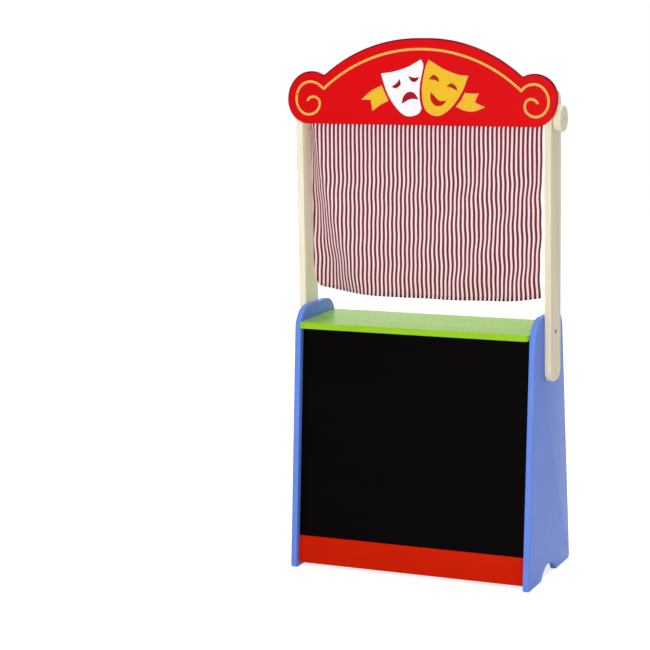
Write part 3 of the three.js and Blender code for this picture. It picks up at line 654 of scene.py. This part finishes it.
# %% Shelf and kick boards
shelf_loop = rounded([(shelf_low[0], shelf_low[1], 10), (shelf_high[0], shelf_low[1], 10),
                      (shelf_high[0], shelf_high[1], 3), (shelf_low[0], shelf_high[1], 3)])
slot_front, slot_back = (lean_point(chalk_high, behind)[0] for behind in (slot_near, slot_far))
half = shelf_high[0] - 3
shelf_slot = np.array([(-half, slot_front), (half, slot_front),
                       (half, slot_back), (-half, slot_back)])
hole = [(shelf_slot, shelf_low[2]), (shelf_slot, shelf_low[2] + slot_depth)]
span = shelf_low[2], shelf_high[2]
piece = board("counter_shelf_board", shelf_loop, span, round_edge, along_z, [hole])
wear(piece, green_paint, "green_paint", "counter_shelf")

sharp_edge = 0.3
low, high = kick_middle - kick_half, kick_middle + kick_half
bar = [lean_point(low, kick_near), lean_point(low, kick_far),
       lean_point(high, kick_far), lean_point(high, kick_near)]
front_bar = [fillet(bar[i - 1], bar[i], bar[(i + 1) % 4], 2.5) for i in range(4)]
rear_bar = (np.concatenate(front_bar) * (-1, 1))[::-1]
groove_floor = high - slot_depth
front_bar.insert(3, np.array([lean_point(high, slot_far), lean_point(groove_floor, slot_far),
                              lean_point(groove_floor, slot_near), lean_point(high, slot_near)]))
half = box("kick_board_front")[1][0]
for word, section in (("front", np.concatenate(front_bar)), ("rear", rear_bar)):
    piece = board(f"kick_board_{word}_bar", section, (-half, half), sharp_edge, along_x)
    wear(piece, kick_red, "red_paint", f"kick_board_{word}")

refinish("chalkboard", chalk_paint)
print("kick boards in mm:", round(2 * half, 1), "chalkboard:", round(chalk_high - chalk_low, 1))

# %% [markdown]
# ## Uprights
#
# Each upright is a planed board with rounded ends, screwed flat to the outer face of its panel.
# The right one has a hole right through it for the roller's long journal. The left one is only
# bored part of the way from the inside.

# %% Uprights
upright_half, journal, bore_depth, bolt_above_foot = 33.5, 7.0, 9, 37.5
upright_loop = rounded([(-upright_half, upright_foot, 25), (upright_half, upright_foot, 25),
                        (upright_half, upright_top, 25), (-upright_half, upright_top, 6)], 14)
shelf_middle = (shelf_low[2] + shelf_high[2]) / 2
bolt_z = upright_foot + bolt_above_foot
bore = circle((0, roller_z), journal + running_gap)
for word, sign in sides:
    outer, inner = sign * upright_outer, sign * upright_inner
    holes = [screw_hole((0, z), outer, -sign, board_screw, upright_outer - upright_inner)
             for z in (shelf_middle, bolt_z)]
    holes.append([(bore, inner), (bore, outer if sign > 0 else inner - bore_depth)])
    span = sorted((outer, inner))
    piece = board(f"upright_{word}_board", upright_loop, span, round_edge, along_x, holes)
    wear(piece, upright_woods[word], "pale_wood", f"upright_{word}")
print("upright in mm:", round(upright_top - upright_foot, 1), "bolt at", round(bolt_z, 1))

# %% [markdown]
# ## Header board
#
# The header is sawn from a thinner board: two oval lobes that touch the bottom edge, an arch that
# runs from one to the other over the top, and a small inner fillet where a saw turns between them.
# The two halves differ a little, so each has its own numbers. The fillet's centre is as far from
# the lobe's oval as it is from the arch, and halving the stretch that holds it finds its place.

# %% Header board
def header_half(arch_from, arch_radius, widest, low_width, head_width, head_rise, notch_radius=7.0):
    """One half as on the right: lower oval, upper oval, fillet, then the arch up to the top."""
    middle_z = header_low[2] + widest
    head = np.array([header_high[0] - head_width, middle_z])
    arch_middle = np.array([arch_from, header_high[2] - arch_radius])

    def fillet_at(angle):
        way = np.array([math.cos(angle), math.sin(angle)])
        facing = way / (head_width, head_rise)
        facing = facing / np.linalg.norm(facing)
        return head + way * (head_width, head_rise) + facing * notch_radius, facing

    outer, inner = math.pi / 2, math.pi
    for _ in range(40):
        angle = (outer + inner) / 2
        too_far = np.linalg.norm(fillet_at(angle)[0] - arch_middle) > arch_radius + notch_radius
        outer, inner = (angle, inner) if too_far else (outer, angle)
    centre, facing = fillet_at(inner)
    fillet_start = math.degrees(math.atan2(facing[1], facing[0]))
    arch_start = math.degrees(math.atan2(*(centre - arch_middle)[::-1]))
    return np.concatenate([
        oval((header_high[0] - low_width, middle_z), low_width, widest, -90, 0, 36),
        oval(head, head_width, head_rise, 0, math.degrees(inner), 40)[1:],
        arc(centre, notch_radius, fillet_start + 180, arch_start + 180, 8)[1:],
        arc(arch_middle, arch_radius, arch_start, 90, 60)[1:],
    ])


left_half = header_half(arch_from=1.5, arch_radius=332, widest=49.4, low_width=45,
                        head_width=55.4, head_rise=61)
right_half = header_half(arch_from=17.6, arch_radius=311.6, widest=59.4, low_width=49.6,
                         head_width=49.6, head_rise=48.2)
header_loop = np.concatenate([right_half, (left_half * (-1, 1))[::-1]])
header_front, header_back = header_low[1], header_high[1]
screw_x = (upright_inner + upright_outer) / 2
header_edge, screw_rises = 1, (61.4, 33.4)
screw_places = [(sign * screw_x, header_low[2] + rise) for _, sign in sides for rise in screw_rises]
thick = header_back - header_front
holes = [screw_hole(place, header_front, 1, header_screw, thick) for place in screw_places]
span = header_front, header_back
# The band and the rim share draw that dark line round the header's edge: painted shade, strongest
# where the outline faces up.
piece = board("header_board_sawn", header_loop, span, header_edge, along_y, holes, band=2.4,
              rim_share=lambda up: np.clip(0.65 + 0.5 * up, 0, 1))
wear(piece, header_red, "red_paint", "header_board")
print("points round the header:", len(header_loop))

# %% [markdown]
# ## Printed scroll and masks
#
# The decoration is printed in flat inks. Each ink is a very thin plate on the header's face, and
# the later inks lie a hair's breadth higher, as they do in a real screen print. The scroll line
# follows the header's edge and ends in two volutes. The masks are plain comedy and tragedy masks.
# Every shape runs through a few points on a smooth curve, with corners where two runs meet.

# %% Curves through points
def through(points, steps=10):
    """A smooth curve: between two points it is a cubic whose slope at each is half the line between
    that point's neighbours. At the ends the missing neighbour is a mirror image."""
    p = np.array(points, float)
    if len(p) == 2:
        return p
    p = np.concatenate([2 * p[:1] - p[1:2], p, 2 * p[-1:] - p[-2:-1]])
    t = np.linspace(0, 1, steps, endpoint=False)[:, None]
    parts = [b + ((c - a) * t + (2 * a - 5 * b + 4 * c - d) * t**2
                  + (3 * b - a - 3 * c + d) * t**3) / 2
             for a, b, c, d in zip(p[:-3], p[1:-2], p[2:-1], p[3:])]
    return np.concatenate([*parts, p[-2:-1]])


def shape(*runs):
    """A closed outline from runs that meet at corners, anticlockwise."""
    loop = np.concatenate([through(run)[:-1] for run in runs])
    x, y = loop.T
    return loop if (x * np.roll(y, -1) - y * np.roll(x, -1)).sum() > 0 else loop[::-1]


def ink_plates(layer, ink, name, loops, grow=0.0, step=0.04):
    """Flat shapes on the header's face, moved outwards by grow: each loop gets a front, a back
    and the wall between them. The front of each later layer lies a step higher."""
    points, faces, total = [], [], 0
    for loop in loops:
        loop = loop + outward(loop) * grow
        count = len(loop)
        depths = header_front + 0.02, header_front - step * layer
        points += [along_y(*loop.T, depth) for depth in depths]
        triangles = tessellate_polygon([[Vector((*point, 0)) for point in loop]])
        faces += (grid_faces(2, count) + total).tolist()
        faces += [[i + total + back for i in t] for t in triangles for back in (0, count)]
        total += 2 * count
    piece = make_piece("printed_" + name, np.concatenate(points), faces, smooth=False)
    wear(piece, inks[ink], "red_paint")


def line_outline(path, width):
    """A line of even width with round ends: half the width to each side of the path, and at its
    ends as far as a circle reaches. Points too near the path, inside a corner, are left out."""
    step = np.linalg.norm(np.diff(path, axis=0), axis=1)
    run = np.concatenate([[0], np.cumsum(step)])
    to_end = np.minimum(run, run[-1] - run)
    half = width / 2
    reach = half * np.sqrt(np.clip(1 - (1 - np.clip(to_end / half, 0, 1)) ** 2, 0, 1))
    ways = np.diff(path, axis=0) / step[:, None]
    normals = np.stack([-ways[:, 1], ways[:, 0]], -1)
    first, second = np.vstack([normals[:1], normals]), np.vstack([normals, normals[-1:]])
    side = (first + second) / (1 + (first * second).sum(1))[:, None] * reach[:, None]
    sides = []
    for edge_line in (path + side, path - side):
        nearest = np.linalg.norm(edge_line[:, None] - path[None], axis=2).min(1)
        sides.append(edge_line[nearest > 0.97 * reach])
    return np.concatenate([sides[0], sides[1][::-1][1:-1]])


def evened(path, step=1.2):
    """The same path with its points at equal distances."""
    run = np.concatenate([[0], np.cumsum(np.linalg.norm(np.diff(path, axis=0), axis=1))])
    stops = np.linspace(0, run[-1], round(run[-1] / step) + 1)
    return np.stack([np.interp(stops, run, way) for way in path.T], -1)


# %% Scroll
left_volute = [(-215.3, 1024.6), (-230.4, 1035.3), (-246.9, 1039.2), (-262.7, 1034.3),
               (-274.5, 1021.1), (-278.7, 1002.9), (-275.3, 985.6), (-264, 973.3),
               (-249.1, 970), (-234.9, 975.1), (-226.1, 987.2), (-226.3, 999.7),
               (-234.3, 1006.4), (-240.1, 1007.3), (-245.9, 1006.3), (-249.9, 1003.7),
               (-252.6, 1000.2), (-254.5, 996.7)]
right_volute = [(221.8, 1023.5), (230.3, 1031.6), (240.5, 1036), (251.5, 1036.9), (261.7, 1034),
                (270.7, 1026.6), (277.5, 1015.5), (279.8, 1004.5), (278.2, 991), (272.5, 981),
                (264, 974), (252.3, 971), (241.2, 973.8), (232.5, 980.9), (229.4, 990.2),
                (231, 999.2), (236, 1005), (243.6, 1007), (251.1, 1004.5), (256, 999.5),
                (257.5, 996)]
scroll_centre, scroll_radius = np.array([4.7, 778.0]), 329.5
starts = [np.array(volute[0]) - scroll_centre for volute in (left_volute, right_volute)]
ends = [math.degrees(math.atan2(start[1], start[0])) for start in starts]
short = [math.hypot(*start) / scroll_radius - 1 for start in starts]
way_over = np.linspace(0, 1, 91)[:, None]
eased = 1 + short[0] * (1 - way_over) ** 6 + short[1] * way_over**6
long_arc = scroll_centre + eased * (arc(scroll_centre, scroll_radius, *ends, 90) - scroll_centre)
runs = [evened(path) for path in (through(left_volute)[::-1], long_arc, through(right_volute))]
scroll = np.concatenate([runs[0][:-1], runs[1], runs[2][1:]])
ink_plates(1, "brown", "scroll_rim", [line_outline(scroll, width=7.6)])
ink_plates(2, "orange", "scroll", [line_outline(scroll, width=5.4)])
print("scroll line in mm:", round(np.linalg.norm(np.diff(scroll, axis=0), axis=1).sum()))

# %% Masks
sad = shape([(-84.4, 1057), (-53.9, 1061.6), (-23.6, 1071.3), (0.3, 1083.8), (5.4, 1086)],
            [(5.4, 1086), (10, 1074.3), (6.3, 1055.3), (1.7, 1030.3), (1.1, 1008.2), (5, 984.7)],
            [(5, 984.7), (-2.4, 974.3), (-19.9, 968.8), (-37.4, 973.5), (-56.4, 992.8),
             (-72.1, 1019.3), (-84.4, 1057)])
glad = shape([(21.6, 1086.1), (31.8, 1080.3), (56.7, 1066.5), (86.3, 1056), (108.8, 1053.7)],
             [(108.8, 1053.7), (93.8, 1017.9), (67.1, 984), (38.7, 970), (13.5, 983.3), (6, 1020),
              (12.7, 1064.1), (21.6, 1086.1)])
right_ribbon = shape([(100.1, 1018.7), (118.7, 1017.4), (131, 1018)], [(131, 1018), (122.4, 999.3)],
                     [(122.4, 999.3), (144.8, 989.6)],
                     [(144.8, 989.6), (124.7, 981.8), (110.7, 980.5), (96.7, 982.9), (80.4, 990)],
                     [(80.4, 990), (92, 1003.3), (100.1, 1018.7)])
left_ribbon = shape([(-130.3, 1002.3), (-108.4, 1001.9)], [(-108.4, 1001.9), (-105.1, 978.5)],
                    [(-105.1, 978.5), (-87.6, 991), (-68.3, 1000.8)],
                    [(-68.3, 1000.8), (-83.2, 1032.6)],
                    [(-83.2, 1032.6), (-107.5, 1020.9), (-130.3, 1002.3)])
ribbons = [left_ribbon, right_ribbon]
ink_plates(1, "brown", "ribbon_outlines", ribbons, grow=0.9)
ink_plates(2, "orange", "ribbon_rims", ribbons)
ink_plates(3, "gold", "ribbons", ribbons, grow=-3.2)
ink_plates(4, "crimson", "sad_outline", [sad], grow=1.2)
ink_plates(5, "brown", "glad_outline", [glad], grow=1.5)
ink_plates(6, "white", "sad_mask", [sad])
ink_plates(7, "orange", "glad_rim", [glad])
ink_plates(8, "gold", "glad_mask", [glad], grow=-3.2)
print("points round the masks:", len(sad), "and", len(glad))

# %% Faces of the masks
sad_eyes = [
    shape([(-59.5, 1029.8), (-49.5, 1036.5), (-43.3, 1044.7)],
          [(-43.3, 1044.7), (-41.8, 1034.4), (-51.2, 1027.6), (-59.5, 1029.8)]),
    shape([(-22.2, 1050.7), (-11.1, 1048.1), (-0.4, 1049.1)],
          [(-0.4, 1049.1), (-5.6, 1042.3), (-11.2, 1040.8), (-16.7, 1042.6), (-22.2, 1050.7)]),
]
frown = shape([(-37.5, 996), (-34.6, 1008.6), (-24.2, 1018.3), (-11.5, 1016.9), (-2.4, 1005.2)],
              [(-2.4, 1005.2), (-19.5, 1005.4), (-37.5, 996)])
glad_eyes = [
    shape([(23.9, 1046.9), (32.3, 1054.3), (41.7, 1048.2), (43.2, 1041.6)],
          [(43.2, 1041.6), (35.4, 1045.2), (23.9, 1046.9)]),
    shape([(62.7, 1032.3), (71.4, 1037), (80.7, 1030.9), (82.7, 1023.9)],
          [(82.7, 1023.9), (74.4, 1028.7), (62.7, 1032.3)]),
]
smile = shape([(26.2, 1018), (26.7, 1004.1), (35.7, 992.7), (49.9, 993.3), (58.6, 1001.2)],
              [(58.6, 1001.2), (43.7, 1001.6), (26.2, 1018)])
ink_plates(9, "plum", "sad_features", [*sad_eyes, frown], grow=0.8)
ink_plates(10, "crimson", "frown", [frown], grow=-1.6)
ink_plates(9, "rust", "glad_eyes", glad_eyes, grow=1.0)
ink_plates(9, "rust", "smile", [smile], grow=1.0)
ink_plates(10, "smile red", "smile_inside", [smile], grow=-0.8)

# %% [markdown]
# ## Turned pieces and screws
#
# The roller and the knob come off a lathe, so each is a profile that runs round an axis. A screw
# is turned as well, but its hexagon socket isn't round: there the radius changes with the angle,
# by the distance from a hexagon's middle to its side.

# %% Turned pieces
def turned_piece(name, profile, start, direction, sides=64):
    """Each (radius, distance) of the profile is a ring: radius (cos a, sin a) at that distance from
    the start along the direction. A third number of 1 makes the ring a hexagon, whose radius is
    radius times cos 30 over the cosine of the angle from the nearest side's middle."""
    radius, along, *hexagon = np.array(profile, float).T[:, :, None]
    angle = np.linspace(0, 2 * math.pi, sides, endpoint=False)
    if hexagon:
        from_middle = (angle + math.pi / 6) % (math.pi / 3) - math.pi / 6
        to_side = radius * math.cos(math.pi / 6) / np.cos(from_middle)
        radius = np.where(hexagon[0] > 0, to_side, radius)
    points = grid_points(radius * np.cos(angle), radius * np.sin(angle), along).reshape(-1, 3)
    turn = np.array(Vector((0, 0, 1)).rotation_difference(Vector(direction)).to_matrix())
    return make_piece(name, points @ turn.T + np.array(start), grid_faces(len(profile), sides))


def screw_piece(name, screw, start, direction, proud=0.0):
    """Rings from the hexagon socket's floor out over the head, down the slope and the shank."""
    head, rim, neck, shank, length, key, socket = screw
    slope_end = rim + head - neck
    profile = [(0, socket, 0), (key, socket, 1), (key, 0.15, 1), (key + 0.2, 0, 1),
               (head - 0.35, 0, 0), (head - 0.1, 0.1, 0), (head, 0.3, 0), (head, rim + 0.05, 0),
               (neck, slope_end, 0), (shank, slope_end + 0.2, 0), (shank, length - 3, 0),
               (0.5 * shank, length, 0), (0, length, 0)]
    profile = [(radius, along - proud, hexagon) for radius, along, hexagon in profile]
    return turned_piece(name, profile, start, direction, 48)


along_roller, roller_end = (1, 0, 0), upright_inner - 0.7
body_half = [(journal, roller_end), (10, roller_end), (10.7, roller_end - 0.3),
             (11, roller_end - 1)]
roller_profile = [(0, roller_low[0]), (journal - 1, roller_low[0]), (journal, roller_low[0] + 1),
                  *[(radius, -along) for radius, along in body_half], *body_half[::-1],
                  (journal, roller_high[0] - 1), (journal - 1, roller_high[0]), (0, roller_high[0])]
piece = turned_piece("curtain_roller_dowel", roller_profile, (0, 0, roller_z), along_roller)
wear(piece, roller_wood, "pale_wood", "curtain_roller", body="roller")
print("roller with its journals in mm:", round(roller_high[0] - roller_low[0], 1))

# %% Knob
knob_low, knob_high = box("winding_knob")
knob_radius = (knob_high[2] - knob_low[2]) / 2
knob_face, bore_radius = knob_high[0] - knob_low[0], journal + running_gap
knob_profile = [(bore_radius, 0), *arc((knob_radius - 2, 2), 2, -90, 0, 6),
                *arc((knob_radius - 3.5, knob_face - 3.5), 3.5, 0, 90, 10),
                (3.9, knob_face), (3.9, knob_face - 0.6), (2.3, knob_face - 2.2), (2.3, 6),
                (bore_radius, 6), (bore_radius, 0)]
knob_start = (knob_low[0], 0, roller_z)
piece = turned_piece("winding_knob_turned", knob_profile, knob_start, along_roller, sides=96)
wear(piece, knob_wood, "knob_wood", "winding_knob", body="roller")
piece = screw_piece("knob_screw_hex", knob_screw, (knob_high[0], 0, roller_z), (-1, 0, 0))
wear(piece, zinc, "steel", "knob_screw", body="roller")
print("knob across in mm:", round(2 * knob_radius, 1))

# %% Screws, bolts and sleeve nuts
short_bolt, kick_screw = board_screw._replace(length=23.5), board_screw._replace(length=45)
header_words = [f"header_screw_{word}_{i}" for word, _ in sides for i in (1, 2)]
for name, (x, z) in zip(header_words, screw_places):
    piece = screw_piece(name + "_hex", header_screw, (x, header_front, z), (0, 1, 0), proud=0.3)
    wear(piece, bronzed, "steel", name)
nut_profile = [(0, 0), (6.8, 0), (7.3, 0.25), (7.5, 0.8), (7.5, 1.5), (4.5, 1.5), (4.5, 11.5),
               (3.3, 11.5), (3.3, 1.2), (0, 1.2)]
for word, sign in sides:
    outside, panel_side = sign * upright_outer, sign * panel_outer
    places = {
        f"shelf_screw_{word}": (board_screw, blackened, (outside, 0, shelf_middle)),
        f"upright_bolt_{word}": (short_bolt, yellow_zinc, (outside, 0, bolt_z)),
        f"kick_screw_front_{word}": (kick_screw, blue_zinc, (panel_side, kick_y, kick_z)),
        f"kick_screw_rear_{word}": (kick_screw, blue_zinc, (panel_side, -kick_y, kick_z)),
    }
    for name, (screw, plating, start) in places.items():
        wear(screw_piece(name + "_hex", screw, start, (-sign, 0, 0)), plating, "steel", name)
    name = f"sleeve_nut_{word}"
    flange = box(name)[0 if sign > 0 else 1][0]
    piece = turned_piece(name + "_turned", nut_profile, (flange, 0, bolt_z), (sign, 0, 0), 48)
    wear(piece, zinc, "steel", name)

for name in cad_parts:
    if "dowel" in name:
        refinish(name, roller_wood)

# %% [markdown]
# ## Striped cloth
#
# The cloth is a plain cotton weave with maroon and white stripes that run down it. Stripes belong
# to the threads, so they follow the cloth's own UV map and not the room: they bend with each fold.
# The first UV number counts stripes across, the second is the distance down in metres. Near its
# lower end a row of stitches draws the cloth in a little, with painted shade along the seam, and
# the dark stripes get painted shade over the turned hem below.

# %% Weave group
tree, given, end = new_group("plain weave", [("Across", "Float", 0.0), ("Down", "Float", 0.0)],
                             [("Height", "Float"), ("Shade", "Float")])
thread = 0.6 * mm
warp, weft = (sums(tree, "SINE", times(tree, given[way], math.pi / thread))
              for way in ("Across", "Down"))
over = times(tree, warp, weft)
weave = finish_group(tree, end, Height=sums(tree, "MULTIPLY_ADD", over, 0.5, 0.5),
                     Shade=fitted(tree, over, -1.0, 1.0, 0.93, 1.03))
print("threads in a centimetre:", round(10 * mm / thread, 1))

# %% Cloth material
stripe_count, stripe_width = 55.5, 9.75 * mm
hem_z, seam_above_hem, stitch_length = 584.0, 6.5, 3.4 * mm
curtain_drop = roller_z - hem_z
cloth, tree, shader = new_material("striped cotton", Specular_IOR_Level=0.2, Roughness=0.85,
                                   Sheen_Weight=0.15, Sheen_Roughness=0.5)
cloth_map = put(tree, "UVMap", uv_map="cloth").outputs[0]
stripes, down = put(tree, "SeparateXYZ", {0: cloth_map}).outputs[:2]
across = times(tree, stripes, stripe_width)
threads = put(tree, "Group", {"Across": across, "Down": down}, node_tree=weave)
place = put(tree, "TexCoord").outputs["Object"]
fray = fitted(tree, noise(tree, place, 900.0, 2.0), 0.3, 0.7, -0.02, 0.02)
phase = sums(tree, "FRACT", sums(tree, "ADD", stripes, fray))
begins, ends = fitted(tree, phase, 0.0, 0.02, 0.0, 1.0), fitted(tree, phase, 0.52, 0.55, 1.0, 0.0)
dye_and_hem_shade = mixed(tree, noise(tree, place, 60.0, 3.0), srgb(96, 30, 42), srgb(126, 42, 56))
# Painted shade: over the turned hem the dark stripes turn near black.
hem_shade = fitted(tree, down, (curtain_drop - 6) * mm, (curtain_drop - 3) * mm, 0.0, 1.0)
dye_and_hem_shade = mixed(tree, hem_shade, dye_and_hem_shade, srgb(34, 4, 12))
ground = mixed(tree, noise(tree, place, 25.0, 2.0), srgb(255, 219, 224), srgb(255, 230, 234))
striped = mixed(tree, times(tree, begins, ends), ground, dye_and_hem_shade)
shaded = mixed(tree, 1.0, striped, threads.outputs["Shade"], "MULTIPLY")
print("threads in a pair of stripes:", round(stripe_width / thread, 1))

# %% Stitched seam
seam_down = (curtain_drop - seam_above_hem) * mm
from_seam = sums(tree, "ABSOLUTE", sums(tree, "SUBTRACT", down, seam_down))
seam = fitted(tree, from_seam, 0.2 * mm, 0.9 * mm, 1.0, 0.0)
along_stitch = sums(tree, "FRACT", sums(tree, "DIVIDE", across, stitch_length))
stitch = fitted(tree, along_stitch, 0.68, 0.72, 1.0, 0.0)
stitch = times(tree, stitch, fitted(tree, from_seam, 0.2 * mm, 0.35 * mm, 1.0, 0.0))
# Painted shade along the seam, where the stitches draw the cloth in.
seam_shaded = mixed(tree, times(tree, seam, 0.2), shaded, srgb(60, 20, 28))
sewn = mixed(tree, stitch, seam_shaded, srgb(170, 96, 106))
height = times(tree, threads.outputs["Height"], 0.1 * mm)
height = sums(tree, "MULTIPLY_ADD", stitch, 0.4 * mm, height)
height = sums(tree, "MULTIPLY_ADD", seam, -0.5 * mm, height)
feed(tree, shader, sewn, height, distance=1.0, strength=0.5)
print("stitches in the seam:", round(stripe_count * stripe_width / stitch_length))

# %% [markdown]
# ## The curtain
#
# The curtain hangs from the front of the roller. Its left side falls back behind a slanting fold,
# soft ripples cross the right half, and the hem's corners hang a little higher. The shape is a
# function of the share across and the distance down. Threads don't stretch, so the points of each
# row are then moved along it until neighbours are the same length of cloth apart, which squeezes
# the stripes in the picture wherever the cloth turns away. The hem is the same sheet turned up
# behind itself.

# %% Curtain shape
half_width, roll_radius = box("wound_cloth")[1][0], 14.8
fold_depth, bulge_depth, ripple_depth, ripple_length, corner_lift = 31, 7, 4, 135, 12


def ramp(low, high, value):
    """0 before low, 1 after high, and 3t squared minus 2t cubed between them."""
    t = np.clip((value - low) / (high - low), 0, 1)
    return t * t * (3 - 2 * t)


def curtain_point(across, down):
    """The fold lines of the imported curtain, in the same order: the side edges, the fold at the
    left, the bulge beside it, the ripples, the hem's lift, and last the small creases."""
    share = down / curtain_drop
    left = -half_width - 8.6 * ramp(0, 40, down) + 2.5 * ramp(60, 150, down) + 14 * share**30
    right_side = half_width - 2 * ramp(0, 30, down) - 5.5 * share
    right_side = right_side + 0.6 * np.sin(down / 9.5) * ramp(60, 140, down)
    x = left + (right_side - left) * across
    fold_x, fold_half = -half_width + 88 * share**2, 12 + 40 * share
    back = fold_depth * ramp(0, 50, down) * (1 - ramp(fold_x - fold_half, fold_x + fold_half, x))
    bulge = bulge_depth * ramp(40, 250, down) * (1 - across**1.5)
    spread = 0.25 + 0.75 * ramp(0.35, 0.8, across)
    wave = np.cos(2 * np.pi * (x - 268 + 0.9 * down) / ripple_length)
    ripple = ripple_depth * ramp(20, 120, down) * spread * wave
    lift = corner_lift * (2 * across - 1) ** 4 * share
    crease = 0.3 * np.sin(x / 17 + np.sin(down / 57) * 2) * np.sin(down / 91 + x / 90)
    crease = crease + 0.2 * np.sin(x / 9.5 - down / 70) * ramp(120, 330, down)
    y = -roll_radius + back - bulge - ripple - crease * ramp(10, 90, down)
    return grid_points(x, y, roller_z - down + lift)


def even_cloth(columns, rows_down):
    """The same rows, with their points spread at equal lengths of cloth from each other."""
    across, down = np.meshgrid(np.linspace(0, 1, columns), rows_down)
    points = curtain_point(across, down)
    step = np.hypot(*np.moveaxis(np.diff(points[..., :2], axis=1), -1, 0))
    run = np.concatenate([np.zeros((len(rows_down), 1)), np.cumsum(step, 1)], 1)
    even = [np.interp(np.linspace(0, r[-1], columns), r, across[0]) for r in run]
    return curtain_point(np.array(even), down), run[:, -1]


def cloth_piece(name, points, stripe, down, thickness):
    """A sheet of cloth on a grid of points. Its UV map holds its stripes and its distance down."""
    uv = grid_points(stripe, down[:, None] * mm)
    faces = grid_faces(*points.shape[:2], closed=False)
    piece = make_piece(name, points, faces, uv=uv, closed=False)
    thicken = piece.modifiers.new("cloth thickness", "SOLIDIFY")
    thicken.thickness, thicken.offset = thickness * mm, 0
    return piece


# %% Hanging curtain
columns, rows, hem_rows, hem_gap, hem_rise = 261, 140, 6, 0.7, 9
rows_down = np.linspace(0.3, curtain_drop, rows)
points, widths = even_cloth(columns, rows_down)
hem_turn = np.linspace(0, math.pi, hem_rows + 1)[1:, None]
fold_round = points[-1] + grid_points(0, hem_gap * (1 - np.cos(hem_turn)),
                                      -hem_gap * np.sin(hem_turn))
up_behind = np.linspace(1.5, hem_rise, hem_rows)
turned_up = fold_round[-1] + grid_points(0, 0, up_behind[:, None])
points = np.concatenate([points, fold_round, turned_up])
round_fold = np.linspace(0.4, 2.2, hem_rows)
past_hem = np.concatenate([round_fold, round_fold[-1] + up_behind])
down_all = np.concatenate([rows_down, curtain_drop + past_hem])
all_widths = np.concatenate([widths, np.full(2 * hem_rows, widths[-1])])[:, None]
stripe = stripe_count - all_widths * np.linspace(1, 0, columns) / (np.median(widths) / stripe_count)
curtain = cloth_piece("curtain_sheet", points, stripe, down_all, thickness=0.5)
wear(curtain, cloth, "striped_cloth", "curtain", body="curtain")
print("cloth widths in mm:", round(widths.min(), 1), "to", round(widths.max(), 1))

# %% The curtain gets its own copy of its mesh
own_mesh(curtain)

# %% Cloth on the roller
wound_turns, pitch, steps, columns = 2, 1.5, 161, 41
turn = np.linspace(0, wound_turns, steps)[:, None]
radius, angle = roll_radius - pitch * turn, 2 * math.pi * turn
y, z = -radius * np.cos(angle), radius * np.sin(angle) + roller_z
run = np.cumsum([0, *np.hypot(np.diff(y[:, 0]), np.diff(z[:, 0]))])
points = grid_points(np.linspace(-half_width, half_width, columns), y, z)
stripe = np.linspace(0, stripe_count, columns)
wound = cloth_piece("wound_cloth_spiral", points, stripe, -run, thickness=0.8)
wear(wound, cloth, "striped_cloth", "wound_cloth", body="roller")
print("cloth wound on the roller in mm:", round(run[-1]))

# %% [markdown]
# ## Room and light
#
# The stand is shown on a plain pale floor with nothing behind it. Soft light comes from all round.
# A round lamp in front makes the fronts brighter than the right side, one above lights the
# counter, and a faint one fills the right side. The surroundings show in glossy paint, so they are
# white behind the stand and dark on the viewer's side, as in a studio, where only the wall behind
# is lit. Seen directly, floor and world are plain white, and the floor keeps a soft shadow.

# %% Floor, world and lamps
floor_half, floor_glow, surround_light = 6000, 0.64, 0.47
corners = [(x * floor_half, y * floor_half, 0) for x, y in ((-1, -1), (1, -1), (1, 1), (-1, 1))]
floor = make_piece("floor", corners, [(0, 1, 2, 3)], closed=False)
white = (1, 1, 1, 1)
floor_material, tree, shader = new_material("pale floor", Roughness=0.9, Specular_IOR_Level=0.0,
                                            Base_Color=(0.8, 0.8, 0.8, 1), Emission_Color=white)
paths = put(tree, "LightPath").outputs
seen = sums(tree, "MAXIMUM", paths["Is Camera Ray"], paths["Is Glossy Ray"])
seen = sums(tree, "MAXIMUM", seen, paths["Is Transmission Ray"])
tree.links.new(times(tree, seen, floor_glow), shader.inputs["Emission Strength"])
floor.data.materials.append(floor_material)
floor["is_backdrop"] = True

world = bpy.data.worlds.new("studio")
bpy.context.scene.world = world
world.use_nodes = True
tree = world.node_tree
surround = tree.nodes["Background"]
surround.inputs["Color"].default_value = white
paths = put(tree, "LightPath").outputs
away = put(tree, "SeparateXYZ", {0: put(tree, "TexCoord").outputs["Generated"]}).outputs[1]
seen = sums(tree, "MAXIMUM", paths["Is Camera Ray"], paths["Is Transmission Ray"])
glossy = times(tree, paths["Is Glossy Ray"], fitted(tree, away, -0.1, 0.3, 0.12, 1.0))
plain = sums(tree, "SUBTRACT", 1.0, sums(tree, "MAXIMUM", seen, paths["Is Glossy Ray"]))
soft = times(tree, plain, surround_light)
brightness = sums(tree, "ADD", sums(tree, "ADD", seen, glossy), soft)
tree.links.new(brightness, surround.inputs["Strength"])

lamps = {
    "key lamp": {"place": (0.32, -3.1, 1.3), "aim": (0, 0, 0.55), "size": 1.0, "power": 43},
    "top lamp": {"place": (0.4, 0.3, 4.0), "aim": (0, 0, 0.5), "size": 2.4, "power": 58},
    "side lamp": {"place": (3.2, -1.2, 0.8), "aim": (-0.3, 0, 0.7), "size": 1.6, "power": 2},
}
for name, lamp in lamps.items():
    light = bpy.data.lights.new(name, "AREA")
    light.shape, light.size, light.energy = "DISK", lamp["size"], lamp["power"]
    holder = bpy.data.objects.new(name, light)
    holder.location = lamp["place"]
    holder.rotation_mode = "QUATERNION"
    holder.rotation_quaternion = (Vector(lamp["aim"]) - holder.location).to_track_quat("-Z", "Y")
    bpy.context.scene.collection.objects.link(holder)
bpy.context.scene.view_settings.view_transform = "Standard"
print("lamps:", ", ".join(lamps))

# %% Sizes
low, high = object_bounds()
change = [round((a - b) / mm, 1) for a, b in zip([*low, *high], [*cad_low, *cad_high])]
print("box difference in mm:", change)
